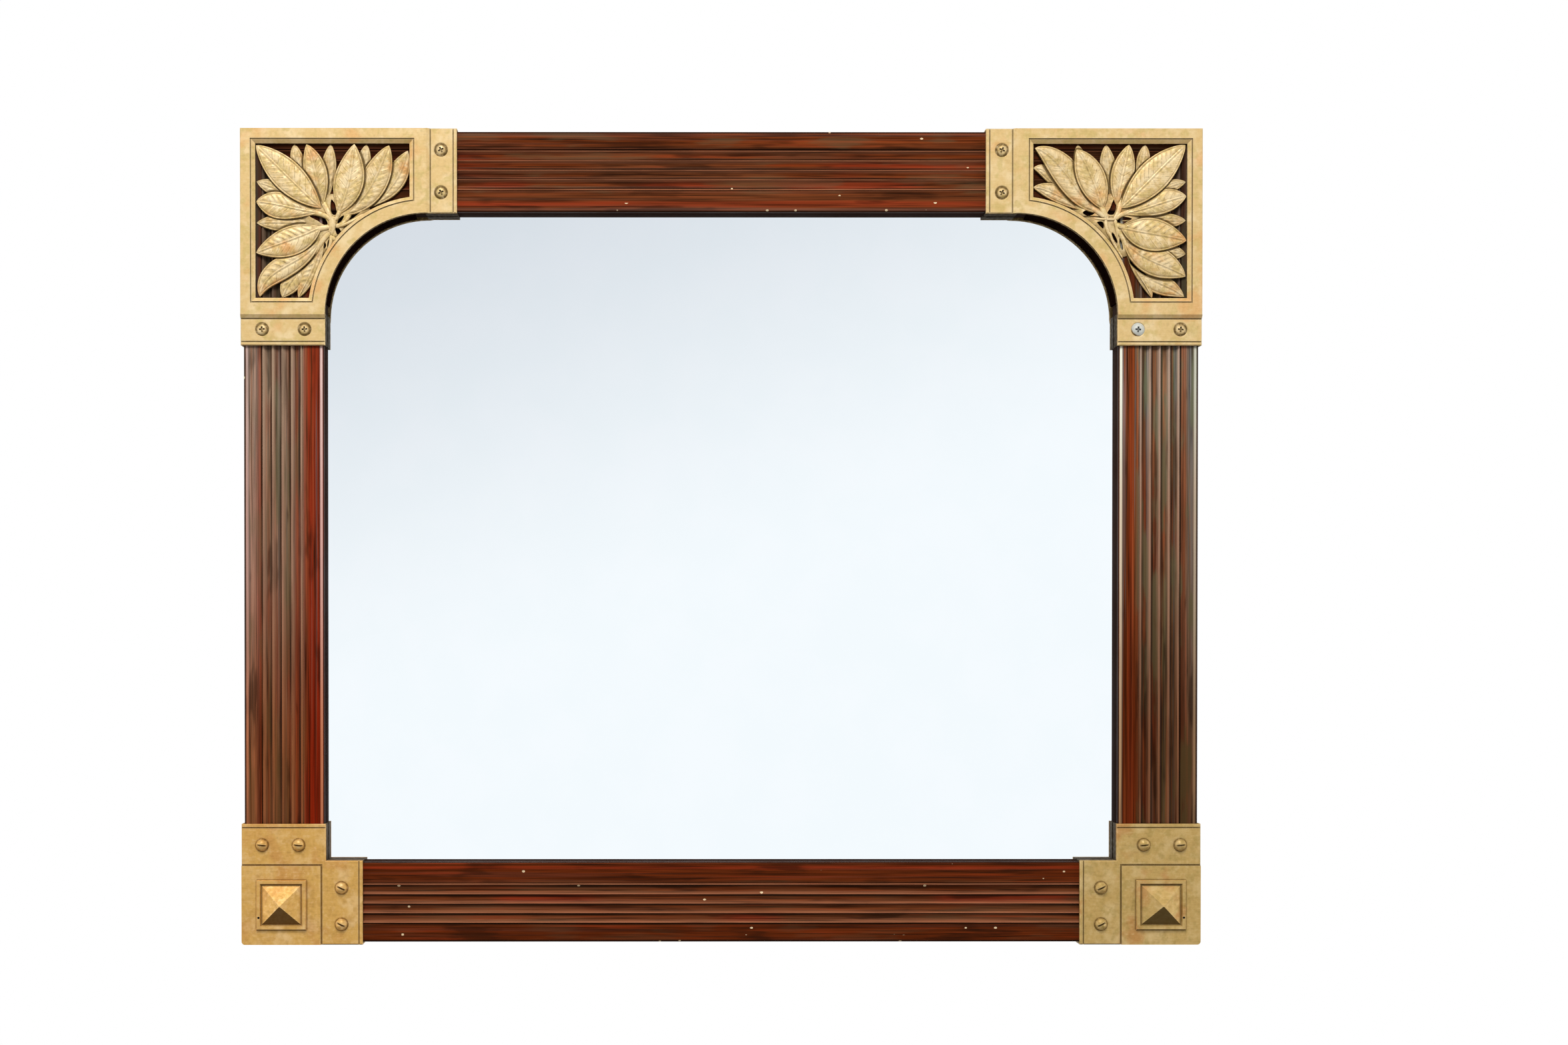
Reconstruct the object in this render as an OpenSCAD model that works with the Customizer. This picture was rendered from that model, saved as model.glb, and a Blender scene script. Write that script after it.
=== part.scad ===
// Overmantel wall mirror: a fluted, mitred hardwood frame with cast brass corner mounts.
// Millimetres. X runs to the right, Z up, and the front faces -Y. The back of the frame lies in the
// plane y = 0, and the origin is midway between the two keyholes that the mirror hangs from.

/* [Frame] */
// Width of the wooden frame
frame_w = 845; // [600:1:1300]
// Height of the wooden frame
frame_h = 717; // [540:1:1100]
// Thickness of the frame, wall to front
frame_d = 32; // [28:0.5:45]
// Face width of each rail
rail_w = 71; // [66:0.5:90]
// Depth of the lip in front of the glass
lip_d = 14; // [10:0.5:18]
// Width of the glass rebate behind the lip
rebate_w = 10; // [8:0.5:12]
// Width of the shelf that the backboards are screwed to
shelf_w = 10; // [9:0.5:12]
// Rounding of the long front edges
edge_r = 2.5; // [1:0.25:4]

/* [Fluting] */
// Distance from the outer edge to the middle of the first bead
first_bead = 17.5; // [14:0.5:22]
// Distance from bead to bead
bead_pitch = 8.4; // [7:0.1:9]
// Number of beads
bead_n = 5; // [3:1:5]
// Width of a bead
bead_w = 1.8; // [1:0.1:2.5]
// Depth of a flute below the face
flute_deep = 2; // [1:0.1:3]

/* [Glass and back] */
// Thickness of the mirror plate
glass_t = 5; // [4:0.5:6]
// Gap round the edge of the mirror plate
glass_gap = 2; // [1:0.5:3]
// Thickness of the backboards
board_t = 7; // [5:0.5:7.5]
// How far the backboards lie below the back of the frame
board_sink = 1; // [0.5:0.5:2]
// Number of glazing blocks along a rail
blocks_per_rail = 3; // [2:1:5]
// Number of glazing blocks along a stile
blocks_per_stile = 3; // [2:1:5]
// Length of a glazing block
block_l = 40; // [20:1:60]

/* [Mitre tongues] */
// Length of a loose tongue along the mitre
tongue_l = 36; // [20:1:40]
// Width of a loose tongue across the mitre
tongue_w = 20; // [12:1:24]
// Thickness of a loose tongue
tongue_t = 5; // [3:0.5:7]

/* [Corner mounts] */
// Wall of the flanges round the outside of the frame
outer_wall = 2; // [1.5:0.1:3]
// Wall of the flanges inside the opening
inner_wall = 1.5; // [1:0.1:2.5]
// How far the outer flanges reach back from the face
outer_reach = 15; // [8:0.5:20]
// How far the inner flanges reach back from the face
inner_reach = 12; // [6:0.5:13]
// Width of the bead that ends each strap
end_bead = 2.6; // [2:0.1:3.5]
// Width of the grooves cut in the mounts
line_w = 1.2; // [0.8:0.1:1.6]
// Depth of the grooves cut in the mounts
line_deep = 0.8; // [0.4:0.1:1.2]
// Rounding of the outer corners of the mounts
mount_r = 3; // [1:0.5:5]

/* [Top brackets] */
// Side of the square panel
panel_leg = 164; // [150:1:176]
// Length of a strap beyond the panel
bracket_strap_l = 27; // [24:1:60]
// Thickness of the panel
panel_t = 5; // [4:0.25:7]
// Thickness of the bracket straps
bracket_t = 3; // [2.5:0.25:4]
// Width of the plain border along the outer edges of the panel
border_w = 10; // [7:0.5:14]
// Width of the plain border beside the straps
inner_border_w = 11.5; // [8:0.5:16]
// Width of the rim along the arch
rim_w = 12; // [9:0.5:15]
// Width of the bevel round the window
bevel_w = 3.2; // [2:0.2:5]
// Depth of the bevel round the window
bevel_deep = 2.2; // [1:0.2:3]
// Step from the panel down to a strap, measured along the strap
step_l = 3; // [2:0.5:5]

/* [Leaf sprays] */
// Height of the tallest leaves above the frame
leaf_h = 4.6; // [3.5:0.1:6]
// Height at the edge of a leaf
leaf_edge_h = 1.7; // [1:0.1:2.5]
// Difference in height between one layer of leaves and the next
layer_drop = 0.75; // [0.4:0.05:1]
// Gap between the spray and the window
spray_gap = 0.1; // [0.05:0.05:0.3]

/* [Bottom caps] */
// Length of each leg of a cap
cap_leg = 107; // [98:1:130]
// Thickness of the cap straps
cap_t = 3; // [2.5:0.25:4]
// Thickness of the square corner block of a cap
cap_block_t = 3.8; // [3:0.1:5]
// Side of the corner block
cap_block = 70; // [66:0.5:76]
// Side of the raised square moulding
boss_side = 44.5; // [36:0.5:50]
// Width of the raised square moulding
boss_rim = 4.6; // [3.5:0.1:6]
// Height of the raised square moulding
boss_rim_h = 2.6; // [1.5:0.1:4]
// Height of the pyramid above its block
pyramid_h = 11; // [6:0.5:16]

/* [Screws] */
// Diameter of the heads of the mount screws
head_d = 12; // [10:0.5:14]
// Diameter of the shanks of the mount screws
shank_d = 4.8; // [4:0.1:5.5]
// Length of the mount screws below the face of the frame
shank_l = 19; // [14:1:22]
// Height of the round heads on the caps
round_head_h = 4.8; // [3:0.1:5]
// Height of the raised heads above their rims
raised_head_h = 1.8; // [0.8:0.1:2.2]
// How far the rims of the raised heads lie below the straps
rim_sink = 0.4; // [0.2:0.1:0.6]
// Width of the screw slots
slot_w = 1.5; // [1:0.1:2]
// Depth of the slots in the round heads
slot_deep = 1.8; // [1:0.1:2.5]
// Turn of the slots of the screws in the level straps
level_turn = -25; // [-90:5:90]
// Turn of the slots of the screws in the upright straps
upright_turn = -5; // [-90:5:90]
// Length of the cross recess in the raised heads
recess_l = 5; // [3:0.5:7]
// Depth of the cross recess in the raised heads
recess_deep = 1.5; // [1:0.1:2]
// Distance from the end of a bracket strap to its screws
bracket_screw_end = 14; // [11:0.5:17]
// Distance from the end of a cap strap to its screws
cap_screw_end = 18.6; // [12:0.1:19]
// Distance from the outer edge to the first screw of a bracket strap
bracket_screw_in = 19; // [12:0.5:22]
// Distance between the two screws of a bracket strap
bracket_screw_apart = 37.5; // [28:0.5:42]
// Distance from the outer edge to the first screw of a cap strap
cap_screw_in = 18.2; // [12:0.1:22]
// Distance between the two screws of a cap strap
cap_screw_apart = 32.3; // [26:0.1:42]
// Diameter of the backboard and hanger screw heads
small_head_d = 7; // [6:0.5:8]
// Diameter of the backboard and hanger screw shanks
small_shank_d = 3.4; // [2.5:0.1:4]

/* [Hangers] */
// Height of the keyholes below the top of the frame
hanger_drop = 130; // [110:1:140]
// Distance from the outer edge of the frame to each keyhole
hanger_in = 25; // [20:0.5:30]
// Diameter of the round end of a keyhole
keyhole_d = 10; // [8:0.5:12]
// Width of the narrow part of a keyhole
keyslot_w = 5; // [4:0.25:6]
// How far the narrow part of a keyhole rises above the round end
keyslot_l = 14; // [11:0.5:18]
// Width of a hanger plate
hanger_w = 20; // [18:0.5:26]
// Length of a hanger plate
hanger_l = 60; // [54:1:70]
// Thickness of a hanger plate
hanger_t = 2; // [1.5:0.25:3]
// Depth of the pocket behind a keyhole
pocket_deep = 12; // [10:0.5:16]

/* [Hidden] */
$fn = 64;

// Running clearance of parts that are let into one another
fit = 0.1;
// How far a cutter runs past the face that it cuts
past = 1;

top_z = hanger_drop;
bottom_z = hanger_drop - frame_h;
opening_w = frame_w - 2 * rail_w;
opening_h = frame_h - 2 * rail_w;
shelf_d = board_t + board_sink;
board_edge = rail_w - rebate_w - shelf_w;
strap_w = outer_wall + rail_w + inner_wall;
bracket_leg = panel_leg + bracket_strap_l;
arch_r = panel_leg - strap_w;
window_near = border_w + bevel_w;
window_far = panel_leg - inner_border_w - bevel_w;
window_r = arch_r + rim_w + bevel_w;
bracket_screw_at = bracket_leg - bracket_screw_end;
cap_screw_at = cap_leg - cap_screw_end;
head_sink = 2.2;
seat_d = head_d + rim_sink * (head_d - shank_d) / head_sink;
groove_w = line_w + 2 * fit;
arris_w = 0.8;
board_gap = 0.5;
board_screw_in = 37;
board_w = (frame_w - 2 * board_edge - 4 * board_gap) / 3;
board_h = frame_h - 2 * board_edge - 2 * board_gap;
board_arris = 1.5;
small_screw_l = 16;
small_head_deep = (small_head_d - small_shank_d) / 2;
pin_d = 2;
boss_shift = 0.4;
boss_middle = cap_block / 2 + boss_shift;
boss_pin_at = [boss_middle - boss_side / 2 + boss_rim / 2, boss_middle - boss_side / 4];
hanger_up = 8;
pocket_wall = 2;
head_margin = 2.5;

wood = "#4a2418";
pine = "#b08c5a";
gilt = "#dcbc80";
brass = "#bd9850";
steel = "#8b8880";

// Places a mount that is drawn from its own outer corner: x along the rail, y up, z out of the face
module at_top_left() {
    translate([-frame_w / 2 - outer_wall, -frame_d, top_z + outer_wall]) rotate([90, 0, 0]) children();
}

module at_bottom_left() {
    translate([-frame_w / 2 - outer_wall, -frame_d, bottom_z - outer_wall]) rotate([90, 0, 0]) children();
}

// Swaps the two legs of something drawn in a top corner
module swap_down(yes) {
    if (yes) mirror([1, 1, 0]) children();
    else children();
}

// Swaps the two legs of something drawn in a bottom corner
module swap_up(yes) {
    if (yes) mirror([1, -1, 0]) children();
    else children();
}

// Wooden frame

module rail_profile() {
    difference() {
        union() {
            translate([0, -frame_d + edge_r]) square([rail_w, frame_d - edge_r]);
            translate([edge_r, -frame_d]) square([rail_w - 2 * edge_r, edge_r]);
            for (x = [edge_r, rail_w - edge_r]) translate([x, -frame_d + edge_r]) circle(edge_r);
        }
        flute_field();
        translate([rail_w - rebate_w, -frame_d + lip_d]) square([rebate_w + past, frame_d]);
        translate([board_edge, -shelf_d]) square([rail_w, shelf_d + past]);
    }
}

// The flutes between the beads, each an arc through the foot of its two beads
module flute_field() {
    chord = bead_pitch - bead_w;
    rise = flute_deep - bead_w / 2;
    r = (chord * chord / 4 + rise * rise) / (2 * rise);
    last_bead = first_bead + (bead_n - 1) * bead_pitch;
    difference() {
        translate([first_bead - bead_w, -frame_d - past])
            square([last_bead - first_bead + 2 * bead_w, past + bead_w / 2]);
        for (i = [0:bead_n - 1]) translate([first_bead + i * bead_pitch, -frame_d + bead_w / 2])
            circle(bead_w / 2);
    }
    for (i = [0:bead_n - 2])
        translate([first_bead + (i + 0.5) * bead_pitch, -frame_d + flute_deep - r]) circle(r);
}

// The flat trapezium, seen from the front, that a rail is mitred to
module mitre_outline(length) {
    polygon([[0, 0], [rail_w, rail_w], [rail_w, length - rail_w], [0, length]]);
}

// A mitred stick with its outer edge on x = 0, running up from the origin
module stick(length) {
    intersection() {
        linear_extrude(length) rail_profile();
        rotate([90, 0, 0]) translate([0, 0, -past]) linear_extrude(frame_d + 2 * past) mitre_outline(length);
    }
}

module left_stick() { translate([-frame_w / 2, 0, bottom_z]) stick(frame_h); }

module top_stick() { translate([-frame_w / 2, 0, top_z]) rotate([0, 90, 0]) stick(frame_w); }

module top_rail() {
    color(wood) difference() {
        top_stick();
        tongues(fit);
        bracket_screw_holes();
        board_screw_holes();
    }
}

module bottom_rail() {
    color(wood) difference() {
        translate([0, 0, top_z + bottom_z]) mirror([0, 0, 1]) top_stick();
        tongues(fit);
        cap_screw_holes();
        board_screw_holes();
    }
}

module cut_left_stile() {
    difference() {
        left_stick();
        tongues(fit);
        bracket_screw_holes();
        cap_screw_holes();
        hanger_recess();
    }
}

module left_stile() { color(wood) cut_left_stile(); }

module right_stile() { color(wood) mirror([1, 0, 0]) cut_left_stile(); }

// Loose tongues let into the mitres, grown by a gap when they cut their own slots
module tongues(grow) {
    across = frame_w / 2 - board_edge / 2;
    up = frame_h / 2 - board_edge / 2;
    for (sx = [-1, 1], sz = [-1, 1]) translate([sx * across, -frame_d / 2, (top_z + bottom_z) / 2 + sz * up])
        rotate([0, sx * sz * 45, 0])
            cube([tongue_w + 2 * grow, tongue_t + 2 * grow, tongue_l + 2 * grow], center = true);
}

module mitre_tongues() { color(pine) tongues(0); }

// Wooden block that fills the corner of the opening behind a bracket's arch
module arch_block() {
    foot = outer_wall + rail_w;
    reach = panel_leg - inner_border_w;
    at_top_left() translate([0, 0, -lip_d + fit]) linear_extrude(lip_d - fit)
        mirror([0, 1]) difference() {
            translate([foot, foot]) square(reach - foot);
            translate([panel_leg, panel_leg]) circle(arch_r + inner_wall / 2, $fn = 96);
        }
}

module left_arch_block() { color(wood) arch_block(); }

module right_arch_block() { color(wood) mirror([1, 0, 0]) arch_block(); }

// Glass and back

module mirror_plate() {
    side = rebate_w - glass_gap;
    color("#c9d2d6") translate([-opening_w / 2 - side, -frame_d + lip_d, bottom_z + rail_w - side])
        cube([opening_w + 2 * side, glass_t, opening_h + 2 * side]);
}

// Blocks wedged in the rebate behind the glass, glued to the side of the rebate
module glazing_blocks() {
    wide = rebate_w - glass_gap;
    front = -frame_d + lip_d + glass_t;
    deep = -shelf_d - front - fit;
    out = rebate_w - fit - wide / 2;
    color(pine) translate([0, front + deep / 2, (top_z + bottom_z) / 2]) for (s = [-1, 1]) {
        for (i = [1:blocks_per_rail])
            translate([(i / (blocks_per_rail + 1) - 0.5) * opening_w, 0, s * (opening_h / 2 + out)])
                cube([block_l, deep, wide], center = true);
        for (i = [1:blocks_per_stile])
            translate([s * (opening_w / 2 + out), 0, (i / (blocks_per_stile + 1) - 0.5) * opening_h])
                cube([wide, deep, block_l], center = true);
    }
}

// One of the three upright backboards, with its long back edges planed off
module backboard(i) {
    left = -frame_w / 2 + board_edge + board_gap + i * (board_w + board_gap);
    color(pine) difference() {
        translate([left, -shelf_d, bottom_z + board_edge + board_gap]) linear_extrude(board_h)
            polygon([[0, 0], [board_w, 0], [board_w, board_t - board_arris], [board_w - board_arris, board_t],
                     [board_arris, board_t], [0, board_t - board_arris]]);
        board_screw_seats();
    }
}

module left_backboard() { backboard(0); }

module middle_backboard() { backboard(1); }

module right_backboard() { backboard(2); }

// Where the backboard screws stand, two at each end of each board
module at_board_screws() {
    from_edge = board_edge + shelf_w / 2;
    left = -frame_w / 2 + board_edge + board_gap;
    ends = [top_z - from_edge, bottom_z + from_edge];
    for (i = [0:2], in = [board_screw_in, board_w - board_screw_in], z = ends)
        translate([left + i * (board_w + board_gap) + in, -board_sink, z]) rotate([-90, 0, 0]) children();
}

module board_screw_holes() { at_board_screws() small_shank(small_screw_l, fit / 2); }

module board_screw_seats() {
    at_board_screws() {
        small_shank(small_screw_l, fit / 2);
        small_head(fit / 2);
    }
}

// Countersunk wood screw with its head flush with z = 0 and its shank going down
module small_shank(length, grow) {
    translate([0, 0, -length]) cylinder(d = small_shank_d + 2 * grow, h = length + grow, $fn = 24);
}

module small_head(grow) {
    translate([0, 0, -small_head_deep]) cylinder(d1 = small_shank_d + 2 * grow, d2 = small_head_d + 2 * grow,
                                                 h = small_head_deep, $fn = 32);
    if (grow > 0) cylinder(d = small_head_d + 2 * grow, h = past, $fn = 32);
}

module small_screw() {
    difference() {
        union() {
            small_shank(small_screw_l, 0);
            small_head(0);
        }
        cube([small_head_d + past, slot_w / 2, slot_deep], center = true);
    }
}

module backboard_screws() { color(steel) at_board_screws() small_screw(); }

// Straps, shared by the brackets and the caps. A strap runs along x from one place to another, with
// its outer edge on y = 0, and the flanges that grip the frame behind it

module strap(from, to, t) {
    in_from = max(from, outer_wall + rail_w);
    difference() {
        union() {
            translate([from, 0, 0]) cube([to - from, strap_w, t]);
            translate([from, 0, -outer_reach]) cube([to - from, outer_wall, outer_reach + past]);
            translate([in_from, strap_w - inner_wall, -inner_reach])
                cube([to - in_from, inner_wall, inner_reach + past]);
        }
        translate([to - end_bead - line_w, -past, t - line_deep])
            cube([line_w, strap_w + 2 * past, past + line_deep]);
        translate([to, -past, t]) rotate([-90, 0, 0]) arris(strap_w + 2 * past);
        for (y = [0, strap_w]) translate([from, y, t]) rotate([0, 90, 0]) arris(to);
    }
}

// A long diamond along z that cuts the sharp corner off an edge
module arris(length) { cylinder(r = arris_w, h = length, $fn = 4); }

// Places of the screws of a corner's two straps: along each strap, in from its outer edge, and apart.
// What stands there can tell from $upright which of the two straps it is in
module at_strap_screws(along, in, apart, t) {
    for (k = [0, 1], $upright = [false, true])
        translate($upright ? [in + k * apart, along, t] : [along, in + k * apart, t]) children();
}

function slot_angle(upright) = upright ? upright_turn : level_turn;

// Countersunk seat and shank hole of a mount screw
module mount_screw_hole(t, countersunk) {
    translate([0, 0, -t - shank_l - past]) cylinder(d = shank_d + fit, h = t + shank_l + 2 * past);
    seat_deep = head_sink + rim_sink;
    if (countersunk) translate([0, 0, -seat_deep])
        cylinder(d1 = shank_d + fit, d2 = seat_d + fit, h = seat_deep + fit);
}

module mount_shank(t) { translate([0, 0, -t - shank_l]) cylinder(d = shank_d, h = t + shank_l); }

module bracket_screw_holes() {
    for (side = [0, 1]) mirror([side, 0, 0]) at_top_left() at_bracket_screws()
        mount_screw_hole(bracket_t, false);
}

module cap_screw_holes() {
    for (side = [0, 1]) mirror([side, 0, 0]) at_bottom_left() at_cap_screws() mount_screw_hole(cap_t, false);
}

module at_bracket_screws() {
    mirror([0, 1, 0]) at_strap_screws(bracket_screw_at, bracket_screw_in, bracket_screw_apart, bracket_t)
        children();
}

module at_cap_screws() {
    at_strap_screws(cap_screw_at, cap_screw_in, cap_screw_apart, cap_t) children();
}

// Top brackets

// Outline of the panel: a square with a quarter circle taken out of its inner corner
module panel_outline() {
    difference() {
        square(panel_leg);
        translate([panel_leg, panel_leg]) circle(arch_r, $fn = 128);
    }
}

// Outline of the window grown outwards by a distance
module window_outline(grow) {
    difference() {
        translate([window_near - grow, window_near - grow]) square(window_far - window_near + 2 * grow);
        translate([panel_leg, panel_leg]) circle(window_r - grow, $fn = 128);
    }
}

// The bevel that slopes into the window from the face of the panel
module window_bevel() {
    low = panel_t - bevel_deep;
    high = panel_t;
    near = window_near;
    far = window_far;
    more = bevel_w;
    difference() {
        polyhedron(
            [[near, near, low], [far, near, low], [far, far, low], [near, far, low],
             [near - more, near - more, high], [far + more, near - more, high],
             [far + more, far + more, high], [near - more, far + more, high]],
            [[0, 1, 2, 3], [7, 6, 5, 4], [4, 5, 1, 0], [5, 6, 2, 1], [6, 7, 3, 2], [7, 4, 0, 3]]);
        translate([panel_leg, panel_leg, low])
            cylinder(r1 = window_r, r2 = window_r - more, h = high - low, $fn = 128);
    }
}

module bracket() {
    at_top_left() difference() {
        union() {
            mirror([0, 1, 0]) difference() {
                linear_extrude(panel_t) panel_outline();
                translate([0, 0, -past]) linear_extrude(panel_t + 2 * past) window_outline(0);
                window_bevel();
                translate([0, 0, panel_t - line_deep]) linear_extrude(past + line_deep) difference() {
                    window_outline(bevel_w + line_w);
                    window_outline(bevel_w);
                }
            }
            for (i = [0, 1]) swap_down(i) mirror([0, 1, 0]) {
                strap(panel_leg - past, bracket_leg, bracket_t);
                translate([0, 0, -outer_reach]) cube([panel_leg, outer_wall, outer_reach + past]);
                panel_foot();
            }
        }
        at_bracket_screws() mount_screw_hole(bracket_t, true);
        for (i = [0, 1]) swap_down(i) translate([panel_leg + step_l, -strap_w - past, bracket_t - line_deep])
            cube([line_w, strap_w + 2 * past, past + line_deep]);
        translate([0, 0, panel_t]) corner_arris();
    }
}

// The sloping step from the end of the panel down to the strap
module panel_foot() {
    translate([panel_leg, strap_w, 0]) rotate([90, 0, 0]) linear_extrude(strap_w)
        polygon([[-past, 0], [step_l, 0], [step_l, bracket_t + fit], [0, panel_t], [-past, panel_t]]);
}

// A small arris along the two outer edges of the panel
module corner_arris() {
    for (i = [0, 1]) swap_down(i) translate([-past, 0, 0]) rotate([0, 90, 0]) arris(panel_leg + past);
}

module left_bracket() { color(gilt) bracket(); }

module right_bracket() { color(gilt) mirror([1, 0, 0]) bracket(); }

// Leaf sprays. A leaf is [four points of its midrib, half width on each side of it, layer, swell],
// with the points measured right and down from the outer corner of the mount. Layer 0 is in front.
// Swell over 1 moves the widest part of the leaf towards its tip

left_leaves = [
    [[75.5, 71], [76, 50], [78, 30], [79.5, 13.5], 6.8, 6.8, 3, 1.4],
    [[60, 56], [54, 40], [48.5, 26], [47.5, 13.5], 6, 6, 3, 1.4],
    [[96, 62], [104, 46], [109, 32], [111, 13.5], 7, 7, 3, 1.4],
    [[60, 64], [44, 58], [28, 51], [13.8, 46.5], 7, 7, 3, 1.3],
    [[73, 78], [52, 84], [34, 82], [13.8, 83], 7.5, 7.5, 3, 1.4],
    [[66, 108], [52, 126], [42, 135], [37, 149], 9, 8, 2, 1.4],
    [[74, 94], [67, 118], [61, 132], [51, 149], 5.5, 9.5, 2, 1.1],
    [[95, 72], [127, 66], [141, 48], [147.5, 19.5], 12, 8, 2, 1.7],
    [[71.5, 71], [69, 50], [66, 32], [58.3, 14], 10, 10, 1, 1.1],
    [[73, 90], [60, 124], [22, 118], [17, 148], 9.5, 10.4, 1, 1.25],
    [[87, 76.5], [114, 66], [122, 38], [131, 15], 12.5, 12.2, 1, 1.15],
    [[73, 74], [54, 74], [34, 66], [14, 64.5], 11.9, 11.5, 0.5, 1.7],
    [[71, 87], [54, 96], [36, 101], [14, 109.5], 13.9, 12, 0, 1],
    [[83, 77.5], [95, 58], [98, 42], [100.5, 14], 13.6, 12.8, 0, 1.15],
    [[71, 70], [52, 53], [34, 34], [14, 15], 13.4, 13.6, 0, 1.05]
];

right_leaves = [
    [[80, 72], [80, 50], [84, 30], [84.5, 13.5], 7.5, 7.5, 3, 1.4],
    [[58, 54], [54, 40], [51, 26], [50, 13.5], 6, 6, 3, 1.4],
    [[101, 56], [104, 42], [108, 28], [109.5, 13.5], 6, 6, 3, 1.4],
    [[56, 64], [42, 56], [28, 49], [13.8, 46.5], 6, 6, 3, 1.3],
    [[71, 80], [50, 82], [32, 80.5], [13.8, 80.5], 6.8, 6.8, 3, 1.5],
    [[67, 108], [60, 126], [50, 137], [44, 149], 2.4, 6.5, 2, 1.1],
    [[64, 112], [52, 136], [34, 134], [15.5, 148], 9.5, 9, 2, 1.2],
    [[112, 62], [122, 52], [134, 34], [149, 34.5], 7, 7, 2, 1.2],
    [[98, 72], [116, 66], [132, 54], [149, 51.5], 9, 6.4, 1.5, 1.2],
    [[75, 68], [74, 50], [68, 32], [64.5, 14], 10, 10, 1, 1.1],
    [[89, 73.5], [110, 64], [123, 25], [147.5, 17], 13.5, 11.5, 1, 1.05],
    [[70, 95], [58, 116], [38, 117], [14.5, 130], 12, 14.5, 1, 1.25],
    [[52, 104], [40, 108], [28, 108], [13.8, 110], 7, 7, 3, 1.4],
    [[73, 75], [54, 74], [34, 63], [14, 59.5], 9.5, 11.5, 0.5, 1.6],
    [[72, 87], [55, 92], [38, 93], [14, 98.5], 15, 14, 0, 1.05],
    [[88, 71], [93, 54], [101, 32], [111, 18.5], 12, 13, 0, 1],
    [[72, 70], [53, 53], [36, 33], [15, 14.5], 14, 14, 0, 1.05]
];

// Stems. A stem is [from, to, thickness at each end], gathered at the knot that the leaves spring from.
// The root stem runs from the knot to the arch, and is [from, angle round the arch, thickness at each end]
left_stems = [
    [[80, 86], [76, 66], 5.4, 6], [[80.5, 86], [86, 70], 5, 6], [[82, 87], [92, 77], 4.4, 5],
    [[82, 89], [95, 82], 4, 3.4], [[95, 82], [110, 72.5], 3.8, 3], [[79, 86], [71, 74], 5.4, 5],
    [[79, 87], [66, 85], 5.4, 5], [[80, 89], [72, 98], 5.4, 5.4], [[81, 89], [79, 97], 4, 3.4],
    [[82, 90], [86, 97], 4, 4], [[79, 97], [73.5, 112], 3.8, 3], [[72, 98], [68, 112], 5, 5]
];
left_root = [[81.5, 85.6], 48, 3.8, 4.2];

right_stems = [
    [[80, 80], [75, 66], 5, 6], [[80, 80], [88, 72], 4.6, 6], [[80, 80], [70, 74], 5.4, 6],
    [[79, 82], [93, 79.5], 3.6, 3], [[93, 79.5], [104, 76.5], 3.4, 3], [[88, 72], [98, 68], 5, 6],
    [[80, 82], [68, 86], 4.6, 5], [[80, 84], [70, 92], 5, 6], [[81, 84], [81, 96], 4, 3.4],
    [[72, 90], [68, 104], 5, 6], [[78, 92], [72, 108], 3.4, 3], [[84, 82], [87, 92], 3.4, 3]
];
right_root = [[81.5, 83.5], 45, 3.8, 4.2];

// The window that the leaves and stems above are drawn for: its outer corner and its side
drawn_near = 13.2;
drawn_side = 136.1;
spray_scale = (window_far - window_near) / drawn_side;

leaf_steps = 10;
end_fall = 0.7;
tip_w = 0.7;
stem_fall = 0.03;
rib_w = 3;
// How much higher the edge of a leaf is for each millimetre of its width, and lower for each layer
edge_swell = 0.0125;
edge_drop = 0.2;
// Places across a leaf, and how far the surface has risen from edge to crown at each
across = [-1, -0.82, -0.4, 0, 0.4, 0.82, 1];
risen = [0, 0.6, 1, 0.84, 0.97, 0.56, 0];

function bezier(p, t) = pow(1 - t, 3) * p[0] + 3 * t * pow(1 - t, 2) * p[1]
    + 3 * t * t * (1 - t) * p[2] + pow(t, 3) * p[3];
function slope(p, t) = pow(1 - t, 2) * (p[1] - p[0]) + 2 * t * (1 - t) * (p[2] - p[1])
    + t * t * (p[3] - p[2]);
function unit(v) = v / norm(v);
// Moves a drawn point to its place in the window
function placed(q) = [for (c = q) window_near + (c - drawn_near) * spray_scale];
function placed_leaf(l) = concat([for (i = [0:3]) placed(l[i])],
    [l[4] * spray_scale, l[5] * spray_scale, l[6], l[7]]);
function placed_stem(s) = [placed(s[0]), placed(s[1]), s[2] * spray_scale, s[3] * spray_scale];
// A point on the edge of the window along the arch
function on_arch(angle) = [panel_leg - window_r * cos(angle), panel_leg - window_r * sin(angle)];
function root_stem(s) = [placed(s[0]), on_arch(s[1]), s[2] * spray_scale, s[3] * spray_scale];
// Steps along the midrib are closer together at both ends
function step_at(i) = (1 - cos(180 * i / leaf_steps)) / 2;
// The half width on one side of the midrib, which side -1 or 1 names
function half_width(leaf, t, side) =
    max(tip_w / 2, leaf[side < 0 ? 4 : 5] * pow(sin(180 * pow(t, leaf[7])), 0.72));
// Leaves are lower at both ends, and wide or forward leaves are a little thicker at the edge
function crown(leaf, t) = leaf_h - leaf[6] * layer_drop - end_fall * pow(2 * t - 1, 2);
function edge(leaf) = leaf_edge_h + (leaf[4] + leaf[5]) * edge_swell - leaf[6] * edge_drop;

function leaf_row(leaf, t, at) =
    let (way = unit(slope(leaf, t)), side = [-way[1], way[0]])
    let (mid = bezier(leaf, t))
    [for (j = at) let (q = mid + side * half_width(leaf, t, across[j]) * across[j])
        [q[0], -q[1], edge(leaf) + (crown(leaf, t) - edge(leaf)) * risen[j]]];

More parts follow.
